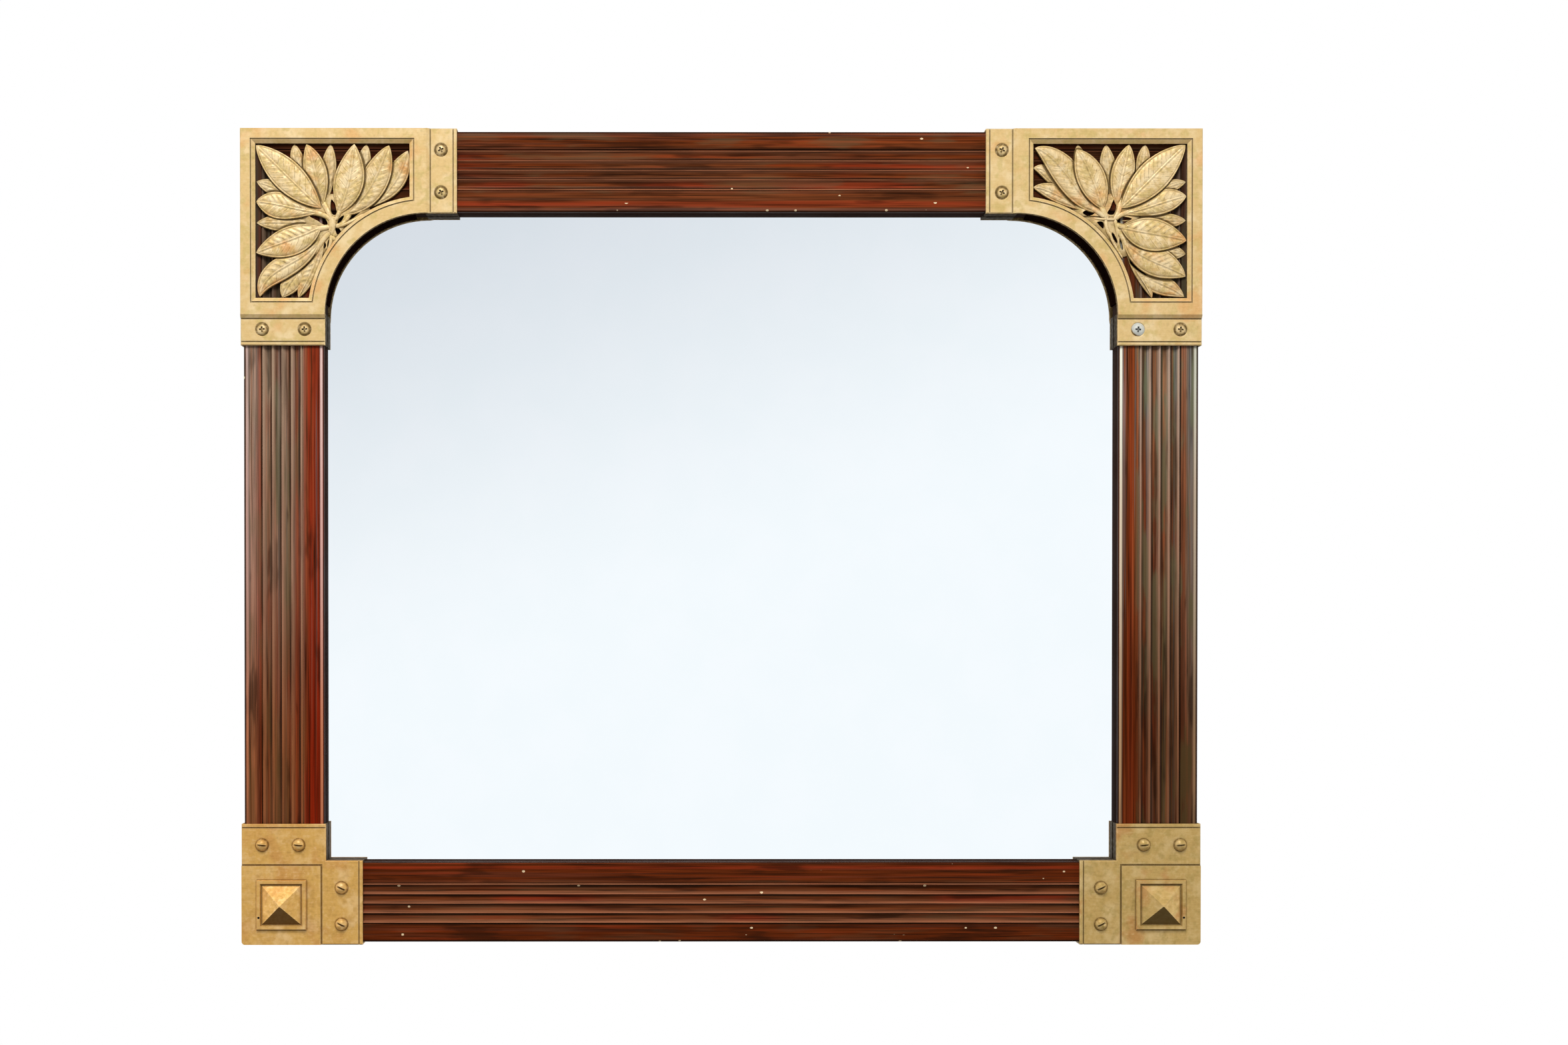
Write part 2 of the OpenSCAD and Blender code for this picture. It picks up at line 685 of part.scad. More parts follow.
module leaf(leaf) {
    m = len(across);
    n = leaf_steps + 1;
    last = m - 1;
    top = [for (i = [0:leaf_steps]) each leaf_row(leaf, step_at(i), [0:last])];
    rim = [for (i = [0:leaf_steps]) each leaf_row(leaf, step_at(i), [0, last])];
    foot = [for (q = rim) [q[0], q[1], -past]];
    under = n * m;
    end = under + 2 * leaf_steps;
    polyhedron(concat(top, foot), concat(
        [for (i = [0:leaf_steps - 1], j = [0:last - 1]) each let (a = i * m + j)
            [[a, a + m, a + 1], [a + 1, a + m, a + m + 1]]],
        [for (i = [0:leaf_steps - 1]) let (b = under + 2 * i) [b, b + 1, b + 3, b + 2]],
        [for (i = [0:leaf_steps - 1]) let (a = i * m, b = under + 2 * i) [a, b, b + 2, a + m]],
        [for (i = [0:leaf_steps - 1]) let (a = i * m + last, b = under + 2 * i + 1) [a, a + m, b + 2, b]],
        [concat([for (j = [0:last]) j], [under + 1, under])],
        [concat([for (j = [last:-1:0]) leaf_steps * m + j], [end, end + 1])]),
        convexity = 4);
}

// A stem lies a little lower than the one before it
module stem(s, i) {
    sunk = past / 2;
    high = leaf_h - layer_drop - i * stem_fall + sunk;
    hull() for (k = [0, 1]) translate([s[k][0], -s[k][1], -sunk])
        scale([1, 1, 2 * high / s[k + 2]]) sphere(d = s[k + 2], $fn = 10);
}

// A spray, trimmed to its window
module leaf_spray(leaves, stems, root) {
    at_top_left() intersection() {
        union() {
            for (l = leaves) leaf(placed_leaf(l));
            for (i = [0:len(stems) - 1]) stem(placed_stem(stems[i]), i);
            stem(root_stem(root), len(stems));
            spray_rib();
        }
        mirror([0, 1, 0]) linear_extrude(panel_t + past) window_outline(-spray_gap);
    }
}

// The low rib along the arch that the foot of the spray grows from
module spray_rib() {
    high = leaf_h - 2 * layer_drop;
    mirror([0, 1, 0]) translate([panel_leg, panel_leg, -past]) linear_extrude(high + past)
        difference() {
            circle(window_r + rib_w, $fn = 96);
            circle(window_r - rib_w, $fn = 96);
        }
}

module left_leaf_spray() { color(gilt) leaf_spray(left_leaves, left_stems, left_root); }

module right_leaf_spray() { color(gilt) mirror([1, 0, 0]) leaf_spray(right_leaves, right_stems, right_root); }

// Raised countersunk screws with a cross recess
module raised_screw() {
    dome_r = (head_d * head_d / 4 + raised_head_h * raised_head_h) / (2 * raised_head_h);
    translate([0, 0, -rim_sink]) difference() {
        union() {
            mount_shank(bracket_t);
            translate([0, 0, -head_sink]) cylinder(d1 = shank_d, d2 = head_d, h = head_sink);
            intersection() {
                translate([0, 0, raised_head_h - dome_r]) sphere(dome_r, $fn = 96);
                cylinder(d = head_d, h = head_d);
            }
        }
        for (a = [0, 90]) rotate(a + slot_angle($upright))
            translate([0, 0, raised_head_h]) cube([recess_l, slot_w, 2 * recess_deep], center = true);
    }
}

module bracket_screws() { at_top_left() at_bracket_screws() raised_screw(); }

module left_bracket_screws() { color(gilt) bracket_screws(); }

module right_bracket_screws() { color(gilt) mirror([1, 0, 0]) bracket_screws(); }

// Bottom caps

// Outline of the corner block, with the outer corner rounded
module block_outline(side) {
    translate([mount_r, 0]) square([side - mount_r, side]);
    translate([0, mount_r]) square([side, side - mount_r]);
    translate([mount_r, mount_r]) circle(mount_r);
}

module corner_cap() {
    at_bottom_left() difference() {
        union() {
            linear_extrude(cap_block_t) block_outline(cap_block);
            linear_extrude(cap_t - line_deep) block_outline(strap_w);
            for (i = [0, 1]) swap_up(i) {
                strap(cap_block + groove_w, cap_leg, cap_t);
                translate([mount_r, 0, -outer_reach]) cube([cap_block, outer_wall, outer_reach + past]);
            }
            translate([mount_r, mount_r, -outer_reach]) linear_extrude(outer_reach + past) difference() {
                circle(mount_r);
                circle(mount_r - outer_wall);
                square(mount_r + past);
                translate([0, -mount_r - past]) square(mount_r + 2 * past);
                translate([-mount_r - past, 0]) square(mount_r + 2 * past);
            }
        }
        at_cap_screws() mount_screw_hole(cap_t, false);
        boss_pin_hole();
        translate([0, 0, -outer_reach - past]) linear_extrude(outer_reach + past) frame_corner();
    }
}

// The two sticks of the frame, which the cap's flanges stand round
module frame_corner() {
    translate([outer_wall, outer_wall]) {
        square([rail_w, 2 * cap_leg]);
        square([2 * cap_leg, rail_w]);
    }
}

module left_corner_cap() { color(brass) corner_cap(); }

module right_corner_cap() { color(brass) mirror([1, 0, 0]) corner_cap(); }

module boss_pin_hole() {
    translate([0, 0, -past]) linear_extrude(cap_block_t + boss_rim_h + 2 * past)
        translate(boss_pin_at) circle(d = pin_d + fit, $fn = 24);
}

// A solid with a square section at each of a list of [half side, height]
module square_stack(levels) {
    corners = [[-1, -1], [1, -1], [1, 1], [-1, 1]];
    n = len(levels);
    polyhedron(
        [for (l = levels, c = corners) [c[0] * l[0], c[1] * l[0], l[1]]],
        concat([[0, 1, 2, 3]], [[for (k = [3:-1:0]) 4 * (n - 1) + k]],
               [for (i = [0:n - 2], k = [0:3]) let (a = 4 * i + k, b = 4 * i + (k + 1) % 4)
                   [a, a + 4, b + 4, b]]));
}

// Raised square moulding with a pyramid inside it
module boss() {
    half = boss_side / 2;
    inside = half - boss_rim;
    upright = boss_rim_h * 0.45;
    outer_slope_w = 0.9;
    inner_slope_w = 1.6;
    floor_h = 0.6;
    pyramid_gap = 0.6;
    plinth_h = 0.5;
    tip = 0.6;
    at_bottom_left() difference() {
        translate([boss_middle, boss_middle, cap_block_t]) {
            difference() {
                square_stack([[half, 0], [half, upright], [half - outer_slope_w, boss_rim_h]]);
                translate([0, 0, floor_h]) square_stack([[inside, 0], [inside + inner_slope_w, boss_rim_h]]);
            }
            translate([0, 0, floor_h - fit])
                square_stack([[inside - pyramid_gap, 0], [inside - pyramid_gap, plinth_h], [tip, pyramid_h]]);
        }
        boss_pin_hole();
    }
}

module left_boss() { color(brass) boss(); }

module right_boss() { color(brass) mirror([1, 0, 0]) boss(); }

// Pins that hold the bosses, driven a little below the surface of the moulding
module boss_pins() {
    below = 1;
    color(steel) for (side = [0, 1]) mirror([side, 0, 0]) at_bottom_left()
        translate(boss_pin_at) cylinder(d = pin_d, h = cap_block_t + boss_rim_h - below, $fn = 24);
}

// Slotted round-head screws
module round_screw() {
    dome_r = (head_d * head_d / 4 + round_head_h * round_head_h) / (2 * round_head_h);
    difference() {
        union() {
            mount_shank(cap_t);
            intersection() {
                translate([0, 0, round_head_h - dome_r]) sphere(dome_r, $fn = 96);
                cylinder(d = head_d, h = head_d);
            }
        }
        rotate(slot_angle($upright)) translate([0, 0, round_head_h])
            cube([head_d + past, slot_w, 2 * slot_deep], center = true);
    }
}

module cap_screws() { at_bottom_left() at_cap_screws() round_screw(); }

module left_cap_screws() { color(brass) cap_screws(); }

module right_cap_screws() { color(brass) mirror([1, 0, 0]) cap_screws(); }

// Hangers, drawn about the keyhole with its narrow part upwards

module at_left_hanger() {
    translate([-frame_w / 2 + hanger_in, 0, 0]) rotate([-90, 0, 0]) mirror([0, 1, 0]) children();
}

// A slot with round ends that rises from the keyhole
module slot_outline(d, rise) {
    circle(d = d);
    translate([0, rise]) circle(d = d);
    translate([-d / 2, 0]) square([d, rise]);
}

module plate_outline(grow) {
    translate([-hanger_w / 2 - grow, hanger_up - hanger_l / 2 - grow])
        square([hanger_w + 2 * grow, hanger_l + 2 * grow]);
}

// Pocket behind the keyhole, and the shallow bed that the plate is let into
module hanger_recess() {
    at_left_hanger() {
        translate([0, 0, -hanger_t]) linear_extrude(hanger_t + past) plate_outline(fit);
        translate([0, 0, -pocket_deep]) linear_extrude(pocket_deep)
            slot_outline(keyhole_d + 2 * pocket_wall, keyslot_l);
        at_hanger_screws() small_shank(small_screw_l, fit / 2);
    }
}

module at_hanger_screws() {
    in = small_head_d / 2 + head_margin;
    for (s = [-1, 1]) translate([0, hanger_up + s * (hanger_l / 2 - in), 0]) children();
}

module hanger_plate() {
    at_left_hanger() difference() {
        translate([0, 0, -hanger_t]) linear_extrude(hanger_t) plate_outline(0);
        translate([0, 0, -hanger_t - past]) cylinder(d = keyhole_d, h = hanger_t + 2 * past);
        translate([0, 0, -hanger_t - past]) linear_extrude(hanger_t + 2 * past)
            slot_outline(keyslot_w, keyslot_l);
        at_hanger_screws() {
            small_shank(small_screw_l, fit / 2);
            small_head(fit / 2);
        }
    }
}

module left_hanger_plate() { color(steel) hanger_plate(); }

module right_hanger_plate() { color(steel) mirror([1, 0, 0]) hanger_plate(); }

module hanger_screws() {
    color(steel) for (side = [0, 1]) mirror([side, 0, 0]) at_left_hanger() at_hanger_screws() small_screw();
}

top_rail();
bottom_rail();
left_stile();
right_stile();
mitre_tongues();
left_arch_block();
right_arch_block();
mirror_plate();
glazing_blocks();
left_backboard();
middle_backboard();
right_backboard();
backboard_screws();
left_bracket();
right_bracket();
left_leaf_spray();
right_leaf_spray();
left_bracket_screws();
right_bracket_screws();
left_corner_cap();
right_corner_cap();
left_boss();
right_boss();
boss_pins();
left_cap_screws();
right_cap_screws();
left_hanger_plate();
right_hanger_plate();
hanger_screws();
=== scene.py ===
import math

import bmesh
import bpy
import numpy as np
from bpy.props import FloatProperty, FloatVectorProperty, PointerProperty
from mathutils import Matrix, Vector


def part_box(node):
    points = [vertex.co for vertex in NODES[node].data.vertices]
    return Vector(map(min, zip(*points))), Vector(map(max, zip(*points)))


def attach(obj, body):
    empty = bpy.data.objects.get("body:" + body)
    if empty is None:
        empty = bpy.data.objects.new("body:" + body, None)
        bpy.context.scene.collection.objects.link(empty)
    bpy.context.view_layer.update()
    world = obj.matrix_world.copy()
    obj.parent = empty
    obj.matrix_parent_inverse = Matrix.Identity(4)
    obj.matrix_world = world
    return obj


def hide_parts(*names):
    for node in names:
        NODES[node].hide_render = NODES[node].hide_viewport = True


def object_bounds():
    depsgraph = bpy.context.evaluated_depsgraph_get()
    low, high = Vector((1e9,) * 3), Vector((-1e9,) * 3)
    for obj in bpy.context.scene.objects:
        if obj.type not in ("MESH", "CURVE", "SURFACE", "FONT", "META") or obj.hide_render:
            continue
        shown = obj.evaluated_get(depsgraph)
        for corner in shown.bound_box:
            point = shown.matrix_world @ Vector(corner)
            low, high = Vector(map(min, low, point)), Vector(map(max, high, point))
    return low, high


bl_info = {
    "name": "Overmantel Mirror",
    "version": (1, 0, 0),
    "blender": (4, 5, 0),
    "location": "View3D > Sidebar > Mirror",
    "description": "Dresses a fluted wall mirror with leaf-cast brackets in wood, brass and silvered glass",
    "category": "Object",
}

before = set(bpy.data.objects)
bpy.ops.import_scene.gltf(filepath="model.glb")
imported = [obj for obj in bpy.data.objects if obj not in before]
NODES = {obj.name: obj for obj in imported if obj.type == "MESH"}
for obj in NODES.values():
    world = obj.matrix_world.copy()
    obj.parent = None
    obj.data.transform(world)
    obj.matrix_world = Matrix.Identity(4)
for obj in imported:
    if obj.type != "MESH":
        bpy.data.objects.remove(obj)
CAD_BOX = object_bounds()
MM = 0.001

BRACKET_LOW, BRACKET_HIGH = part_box("left_bracket")
FACE_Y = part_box("top_rail")[0].y
STILE_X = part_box("left_stile")[0].x
CORNER_X, CORNER_Z = BRACKET_LOW.x, BRACKET_HIGH.z
CAP_LOW_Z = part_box("left_corner_cap")[0].z


def srgb(red, green, blue):
    """A colour as it is read off a screen, 0 to 255, in the linear values that shaders take."""
    return tuple(((c / 255 + 0.055) / 1.055) ** 2.4 if c > 10 else c / 3294.6 for c in (red, green, blue))


def colour(name, about, default):
    return FloatVectorProperty(name=name, description=about, default=srgb(*default), subtype="COLOR",
                               min=0, max=1)


def length(name, about, default_mm, low=0.0, high=10.0):
    return FloatProperty(name=name, description=about, default=default_mm * MM, min=low, max=high,
                         unit="LENGTH", subtype="DISTANCE", precision=4)


def share(name, about, default, high=1.0):
    return FloatProperty(name=name, description=about, default=default, min=0, max=high, subtype="FACTOR")


def power(name, about, default):
    return FloatProperty(name=name, description=about, default=default, min=0, subtype="POWER", unit="POWER")


def angle(name, about, degrees):
    return FloatProperty(name=name, description=about, default=math.radians(degrees), subtype="ANGLE")


class MirrorWood(bpy.types.PropertyGroup):
    first_bead: length("First bead", "Outer edge of a rail to the middle of its first bead", 17.5)
    bead_pitch: length("Bead pitch", "Distance from bead to bead", 8.4)
    rail_w: length("Rail width", "Face width of a rail", 71)
    # This colour is real stain in the streaks and patches, and painted shade along the beads, at the edges, on the
    # sides and in shut-in places
    umber_and_shade: colour("Umber", "The darkest stain, in streaks and along the beads", (34, 15, 6))
    brown: colour("Brown", "Stain in the flutes of the rails", (102, 52, 26))
    deep: colour("Deep rust", "Dark stain on the bands of the bottom rail", (92, 36, 10))
    grey: colour("Grey brown", "Faded stain in the flutes of the left stile", (126, 98, 78))
    dun: colour("Dun", "Faded stain in the flutes of the right stile", (92, 66, 44))
    tan: colour("Tan", "Stain rubbed thin on the outer band of the left stile", (148, 112, 94))
    drab: colour("Drab", "Stain gone dull on the outer band of the right stile", (110, 86, 68))
    rust: colour("Rust", "Stain on the outer bands of the rails", (108, 48, 18))
    red: colour("Red", "Stain on the inner bands", (124, 40, 20))
    bright: colour("Bright streaks", "Orange-red streaks of the figure", (150, 50, 24))
    orange: colour("Orange brown", "Warm streaks in the faded stain", (142, 78, 46))
    smoke: colour("Smoke", "Grey streaks in the faded stain", (98, 90, 84))
    olive: colour("Olive", "Patches where the polish has turned", (96, 88, 62))
    # The bead colours are rubbed polish lit by a painted highlight
    rubbed: colour("Rubbed beads", "Polish rubbed through on the beads of the stiles", (170, 130, 106))
    worn: colour("Worn beads", "Polish worn on the beads of the rails", (158, 100, 70))
    # The arris colours are painted highlights along the stiles' rounded edges
    pink: colour("Pink arris", "Polish worn thin along the edge of the left stile", (224, 176, 164))
    cream: colour("Cream arris", "Bare wood along the edge of the right stile", (228, 208, 180))
    raw: colour("Bare back", "Unpolished wood of the frame's back", (122, 86, 56))
    chipped: colour("Chips", "Bare wood and filler in small chips", (226, 200, 160))


# Pale also serves the painted highlights along edges and on the leaves' crowns, and soil the painted shade in hollows,
# on steep sides and underneath
FINISH_COLOURS = {"base": "Main colour of the metal",
                  "pale": "Where it is rubbed paler",
                  "sallow": "Duller, greener patches",
                  "warm": "Patches where the old lacquer has turned",
                  "soil": "Soil and patina in the hollows"}


def finish_group(name, metallic, *defaults):
    """Settings of one cast metal: the default of each of its colours, and how metallic it is."""
    fields = {part: colour(part.title(), about, default)
              for (part, about), default in zip(FINISH_COLOURS.items(), defaults)}
    fields["metallic"] = share("Metallic", "How metallic the finish is", metallic)
    return type(name, (bpy.types.PropertyGroup,), {"__annotations__": fields})


# Satin cream gold of the brackets, warm aged brass of the left cap, and duller, greener brass of the right cap
MirrorGilt = finish_group("MirrorGilt", 0.35, (226, 191, 128), (247, 222, 174), (208, 180, 108), (230, 166, 98),
                          (92, 68, 20))
MirrorBrass = finish_group("MirrorBrass", 0.4, (220, 170, 88), (242, 204, 146), (206, 156, 78), (206, 144, 74),
                           (98, 62, 8))
MirrorOldBrass = finish_group("MirrorOldBrass", 0.4, (198, 162, 94), (222, 192, 136), (178, 148, 80),
                              (190, 122, 58), (90, 66, 18))


class MirrorLeaves(bpy.types.PropertyGroup):
    top: length("Leaf height", "Height of the front leaves above the wood", 4.9)
    edge: length("Edge height", "Height of the edge of the front leaves", 3.3)
    drop: length("Layer drop", "How much lower each layer of leaves lies", 0.78)
    rim: length("Raised border", "Height of the thin border round a leaf", 0.34)
    vein: length("Vein depth", "Depth of the creases along the side veins", 0.3)
    stem: length("Stem height", "Height of the stems above the wood", 4.3)
    web: length("Web height", "Height of the web between the stems", 2.6)
    rib: length("Rib height", "Height of the low rib along the arch", 3.4)


class MirrorStage(bpy.types.PropertyGroup):
    camera_at: FloatVectorProperty(name="Camera", description="Where the camera stands", unit="LENGTH",
                                   subtype="TRANSLATION", default=(-0.062, -1.9606, -0.313))
    pitch: angle("Pitch", "How far the camera looks up", -0.58)
    yaw: angle("Yaw", "How far the camera turns to the left", -0.13)
    shift_x: FloatProperty(name="Shift X", description="Sideways shift of the lens", default=0.0815)
    shift_y: FloatProperty(name="Shift Y", description="Upward shift of the lens", default=0.0845)
    floor_z: length("Floor", "Height of the floor", -1900, low=-10.0)
    room: share("Room light", "Strength of the even light from all round", 0.25, high=2.0)
    key: power("Key light", "Power of the large light above", 92)
    side: power("Side lights", "Power of the strip light at each side", 5)


class Shader:
    """A node tree being built: each method adds a node and gives its output."""

    def __init__(self, tree):
        self.tree = tree

    def add(self, kind, feeds=(), **settings):
        made = self.tree.nodes.new("ShaderNode" + kind)
        for name, value in settings.items():
            setattr(made, name, value)
        for key, value in dict(feeds).items():
            if isinstance(value, bpy.types.NodeSocket):
                self.tree.links.new(value, made.inputs[key])
            else:
                made.inputs[key].default_value = value
        return made

    def link(self, value, node, socket):
        self.tree.links.new(value, node.inputs[socket])

    def math(self, operation, *values):
        return self.add("Math", dict(enumerate(values)), operation=operation).outputs[0]

    def plus(self, first, second):
        return self.math("ADD", first, second)

    def minus(self, first, second):
        return self.math("SUBTRACT", first, second)

    def times(self, first, *others):
        for other in others:
            first = self.math("MULTIPLY", first, other)
        return first

    def highest(self, first, *others):
        for other in others:
            first = self.math("MAXIMUM", first, other)
        return first

    def rises(self, value, low, high, out_low=0.0, out_high=1.0):
        """Takes a value from one range to another, clamped, with a soft start and end."""
        feeds = {0: value, 1: low, 2: high, 3: out_low, 4: out_high}
        return self.add("MapRange", feeds, interpolation_type="SMOOTHSTEP").outputs[0]

    def falls(self, value, low, high, start=1.0):
        return self.rises(value, low, high, start, 0.0)

    def vectors(self, operation, first, second, output=0):
        return self.add("VectorMath", {0: first, 1: second}, operation=operation).outputs[output]

    def parts(self, vector):
        return self.add("SeparateXYZ", {0: vector}).outputs

    def vector(self, x, y, z):
        return self.add("CombineXYZ", {0: x, 1: y, 2: z}).outputs[0]

    def mixed(self, factor, first, second, blend="MIX"):
        first, second = (c if isinstance(c, bpy.types.NodeSocket) else (*c, 1) for c in (first, second))
        return self.add("Mix", {0: factor, 6: first, 7: second}, data_type="RGBA", blend_type=blend).outputs[2]

    def coated(self, base, *coats):
        """A base colour under coats of other colours, each given with its mask."""
        for mask, coat in coats:
            base = self.mixed(mask, base, coat)
        return base

    def shaded(self, base, level):
        """A colour made darker or lighter by a level."""
        return self.mixed(1.0, base, self.vector(level, level, level), "MULTIPLY")

    def noise(self, at, scale=1.0, detail=2.0, roughness=0.5):
        feeds = {"Vector": at, "Scale": scale, "Detail": detail, "Roughness": roughness}
        return self.add("TexNoise", feeds).outputs["Fac"]


def pattern_group(draw, sockets):
    """The node group of a pattern, made at its first use. draw gives its colour, roughness and height from
    its sockets, whose names are listed by kind."""
    made = bpy.data.node_groups.get(draw.__name__)
    if made:
        return made
    tree = bpy.data.node_groups.new(draw.__name__, "ShaderNodeTree")
    for kind, names in sockets.items():
        for name in names:
            tree.interface.new_socket(name, in_out="INPUT", socket_type="NodeSocket" + kind)
    results = {"Color": "Color", "Roughness": "Float", "Height": "Float"}
    for name, kind in results.items():
        tree.interface.new_socket(name, in_out="OUTPUT", socket_type="NodeSocket" + kind)
    shader = Shader(tree)
    drawn = draw(shader, tree.nodes.new("NodeGroupInput").outputs)
    out = tree.nodes.new("NodeGroupOutput")
    for name, value in zip(results, drawn):
        shader.link(value, out, name)
    return tree


RAIL_VALUES = ("Bead width", "Sheen", "Glow", "Faded", "Line", "Line width", "Olive", "Chips")
FLUTE_SOCKETS = {"Float": ("Across", "Along", "Depth", "Seed", *RAIL_VALUES, "Painted shade"),
                 "Color": ("Outer", "Flute", "Inner", "Bead", "Arris highlight")}
BEADS = 5
# How many millimetres behind the face a rail's raw back begins, and its sides, which are painted dark as shade
BACK_DEPTH, SHADED_SIDE_DEPTH = (28.0, 31.0), (2.6, 5.0)


def drawn_out(shader, feed, wide, long, detail=2.0, rough=0.5):
    """Noise along the grain whose blots are so many millimetres wide and long."""
    at = shader.vector(shader.times(feed["Across"], 1 / wide), shader.times(feed["Along"], 1 / long), feed["Seed"])
    return shader.noise(at, 1.0, detail, rough)


def stained_bands(shader, feed, wood, first, last, pitch):
    """The stain of the outer band, of each flute and of the inner band, and a mask of the inner band."""
    across, faded = feed["Across"], feed["Faded"]
    inner = shader.rises(across, last + 1.4, last + 6.5)
    before_flutes = shader.times(shader.rises(across, 8.0, first - 2.6, 0.0, 0.75),
                                 shader.falls(across, first - 2.4, first - 1.2))
    flute = shader.math("FLOOR", shader.math("DIVIDE", shader.minus(across, first), pitch))
    tone = shader.noise(shader.vector(flute, shader.times(feed["Along"], 0.0022), feed["Seed"]), 3.3, 1.0)
    in_flutes = shader.times(shader.rises(across, first - 1, first + 1), shader.falls(across, last, last + 2))
    ruddy = shader.times(in_flutes, shader.math("MULTIPLY_ADD", faded, -0.4, 0.7))
    dull = shader.times(shader.rises(tone, 0.47, 0.38, 0.0, 0.85), shader.times(in_flutes, faded))
    base = shader.coated(
        feed["Outer"],
        (shader.rises(across, first - 2.4, first - 1.2), feed["Flute"]),
        (inner, feed["Inner"]),
        (before_flutes, shader.mixed(0.35, feed["Inner"], wood.umber_and_shade)),
        (shader.rises(across, first + pitch, last + 2, 0.0, 0.6), feed["Inner"]),
        (shader.times(shader.rises(tone, 0.53, 0.64), ruddy), wood.red),
        (dull, wood.olive),
    )
    return base, inner


def figured(shader, feed, wood, base, inner, streak, figure):
    """Streaks, fine lines and light and dark along the grain, the bright line of a rail and turned patches."""
    hue = drawn_out(shader, feed, 2.8, 420)
    base = shader.coated(
        base,
        (shader.times(shader.rises(hue, 0.54, 0.64, 0.0, 0.6), feed["Faded"]), wood.orange),
        (shader.times(shader.rises(hue, 0.46, 0.38, 0.0, 0.6), feed["Faded"]), wood.smoke),
    )
    base = shader.shaded(base, shader.rises(drawn_out(shader, feed, 0.5, 260, 1.0), 0.35, 0.65, 0.74, 1.2))
    base = shader.shaded(base, shader.rises(figure, 0.36, 0.64, 0.55, 1.35))
    off_line = shader.math("ABSOLUTE", shader.minus(feed["Across"], feed["Line"]))
    off_line = shader.minus(off_line, shader.times(feed["Line width"], 0.5))
    on_line = shader.times(shader.falls(off_line, -0.6, 1.2), feed["Glow"], shader.rises(figure, 0.34, 0.6, 0.25))
    patch = drawn_out(shader, feed, 13, 90, 3.0, 0.55)
    turned = shader.times(shader.rises(patch, 0.5, 0.62), feed["Olive"], shader.minus(1.0, inner))
    return shader.coated(
        base,
        (shader.rises(figure, 0.45, 0.34, 0.0, 0.75), wood.umber_and_shade),
        (shader.times(shader.rises(streak, 0.56, 0.7, 0.0, 0.5), feed["Glow"]), wood.bright),
        (on_line, wood.bright),
        (shader.rises(patch, 0.46, 0.34, 0.0, 0.6), wood.umber_and_shade),
        (turned, wood.olive),
    )


def beaded(shader, feed, wood, base, first, last, pitch, streak, grain, figure):
    """The beads, rubbed and lit by a painted highlight, with a line of painted shade along their outer side and a band
    of painted light fading along the inner one.
    """
    across = feed["Across"]
    fluted = shader.times(shader.rises(across, first - 2.6, first - 1.6), shader.falls(across, last + 1.6, last + 2.6))
    past_bead = shader.minus(shader.math("MODULO", shader.minus(across, first - pitch / 2), pitch), pitch / 2)
    beside = shader.minus(shader.math("ABSOLUTE", past_bead), shader.times(feed["Bead width"], 0.5))
    within = shader.rises(past_bead, -0.3, 0.3)
    # A line of painted shade beside each bead, a band of painted light fading from it across the flute, and the bead
    # itself lit by a painted highlight over its rubbed polish
    line = shader.times(shader.falls(beside, 0.3, 2.8), fluted, shader.minus(1.0, within))
    painted_light_halo = shader.times(shader.falls(beside, 0.0, 2.6, 0.45), fluted, within)
    on_bead = shader.times(shader.falls(beside, -0.4, 0.15), fluted)
    worn = shader.times(shader.rises(drawn_out(shader, feed, 5, 70, 4.0), 0.32, 0.55, 0.5),
                        shader.rises(grain, 0.25, 0.6, 0.7))
    return shader.coated(
        base,
        (shader.times(line, shader.rises(streak, 0.62, 0.44, 0.4, 0.92)), wood.umber_and_shade),
        (shader.times(painted_light_halo, shader.rises(figure, 0.36, 0.56, 0.3)), feed["Bead"]),
        (shader.times(on_bead, worn), feed["Bead"]),
    )


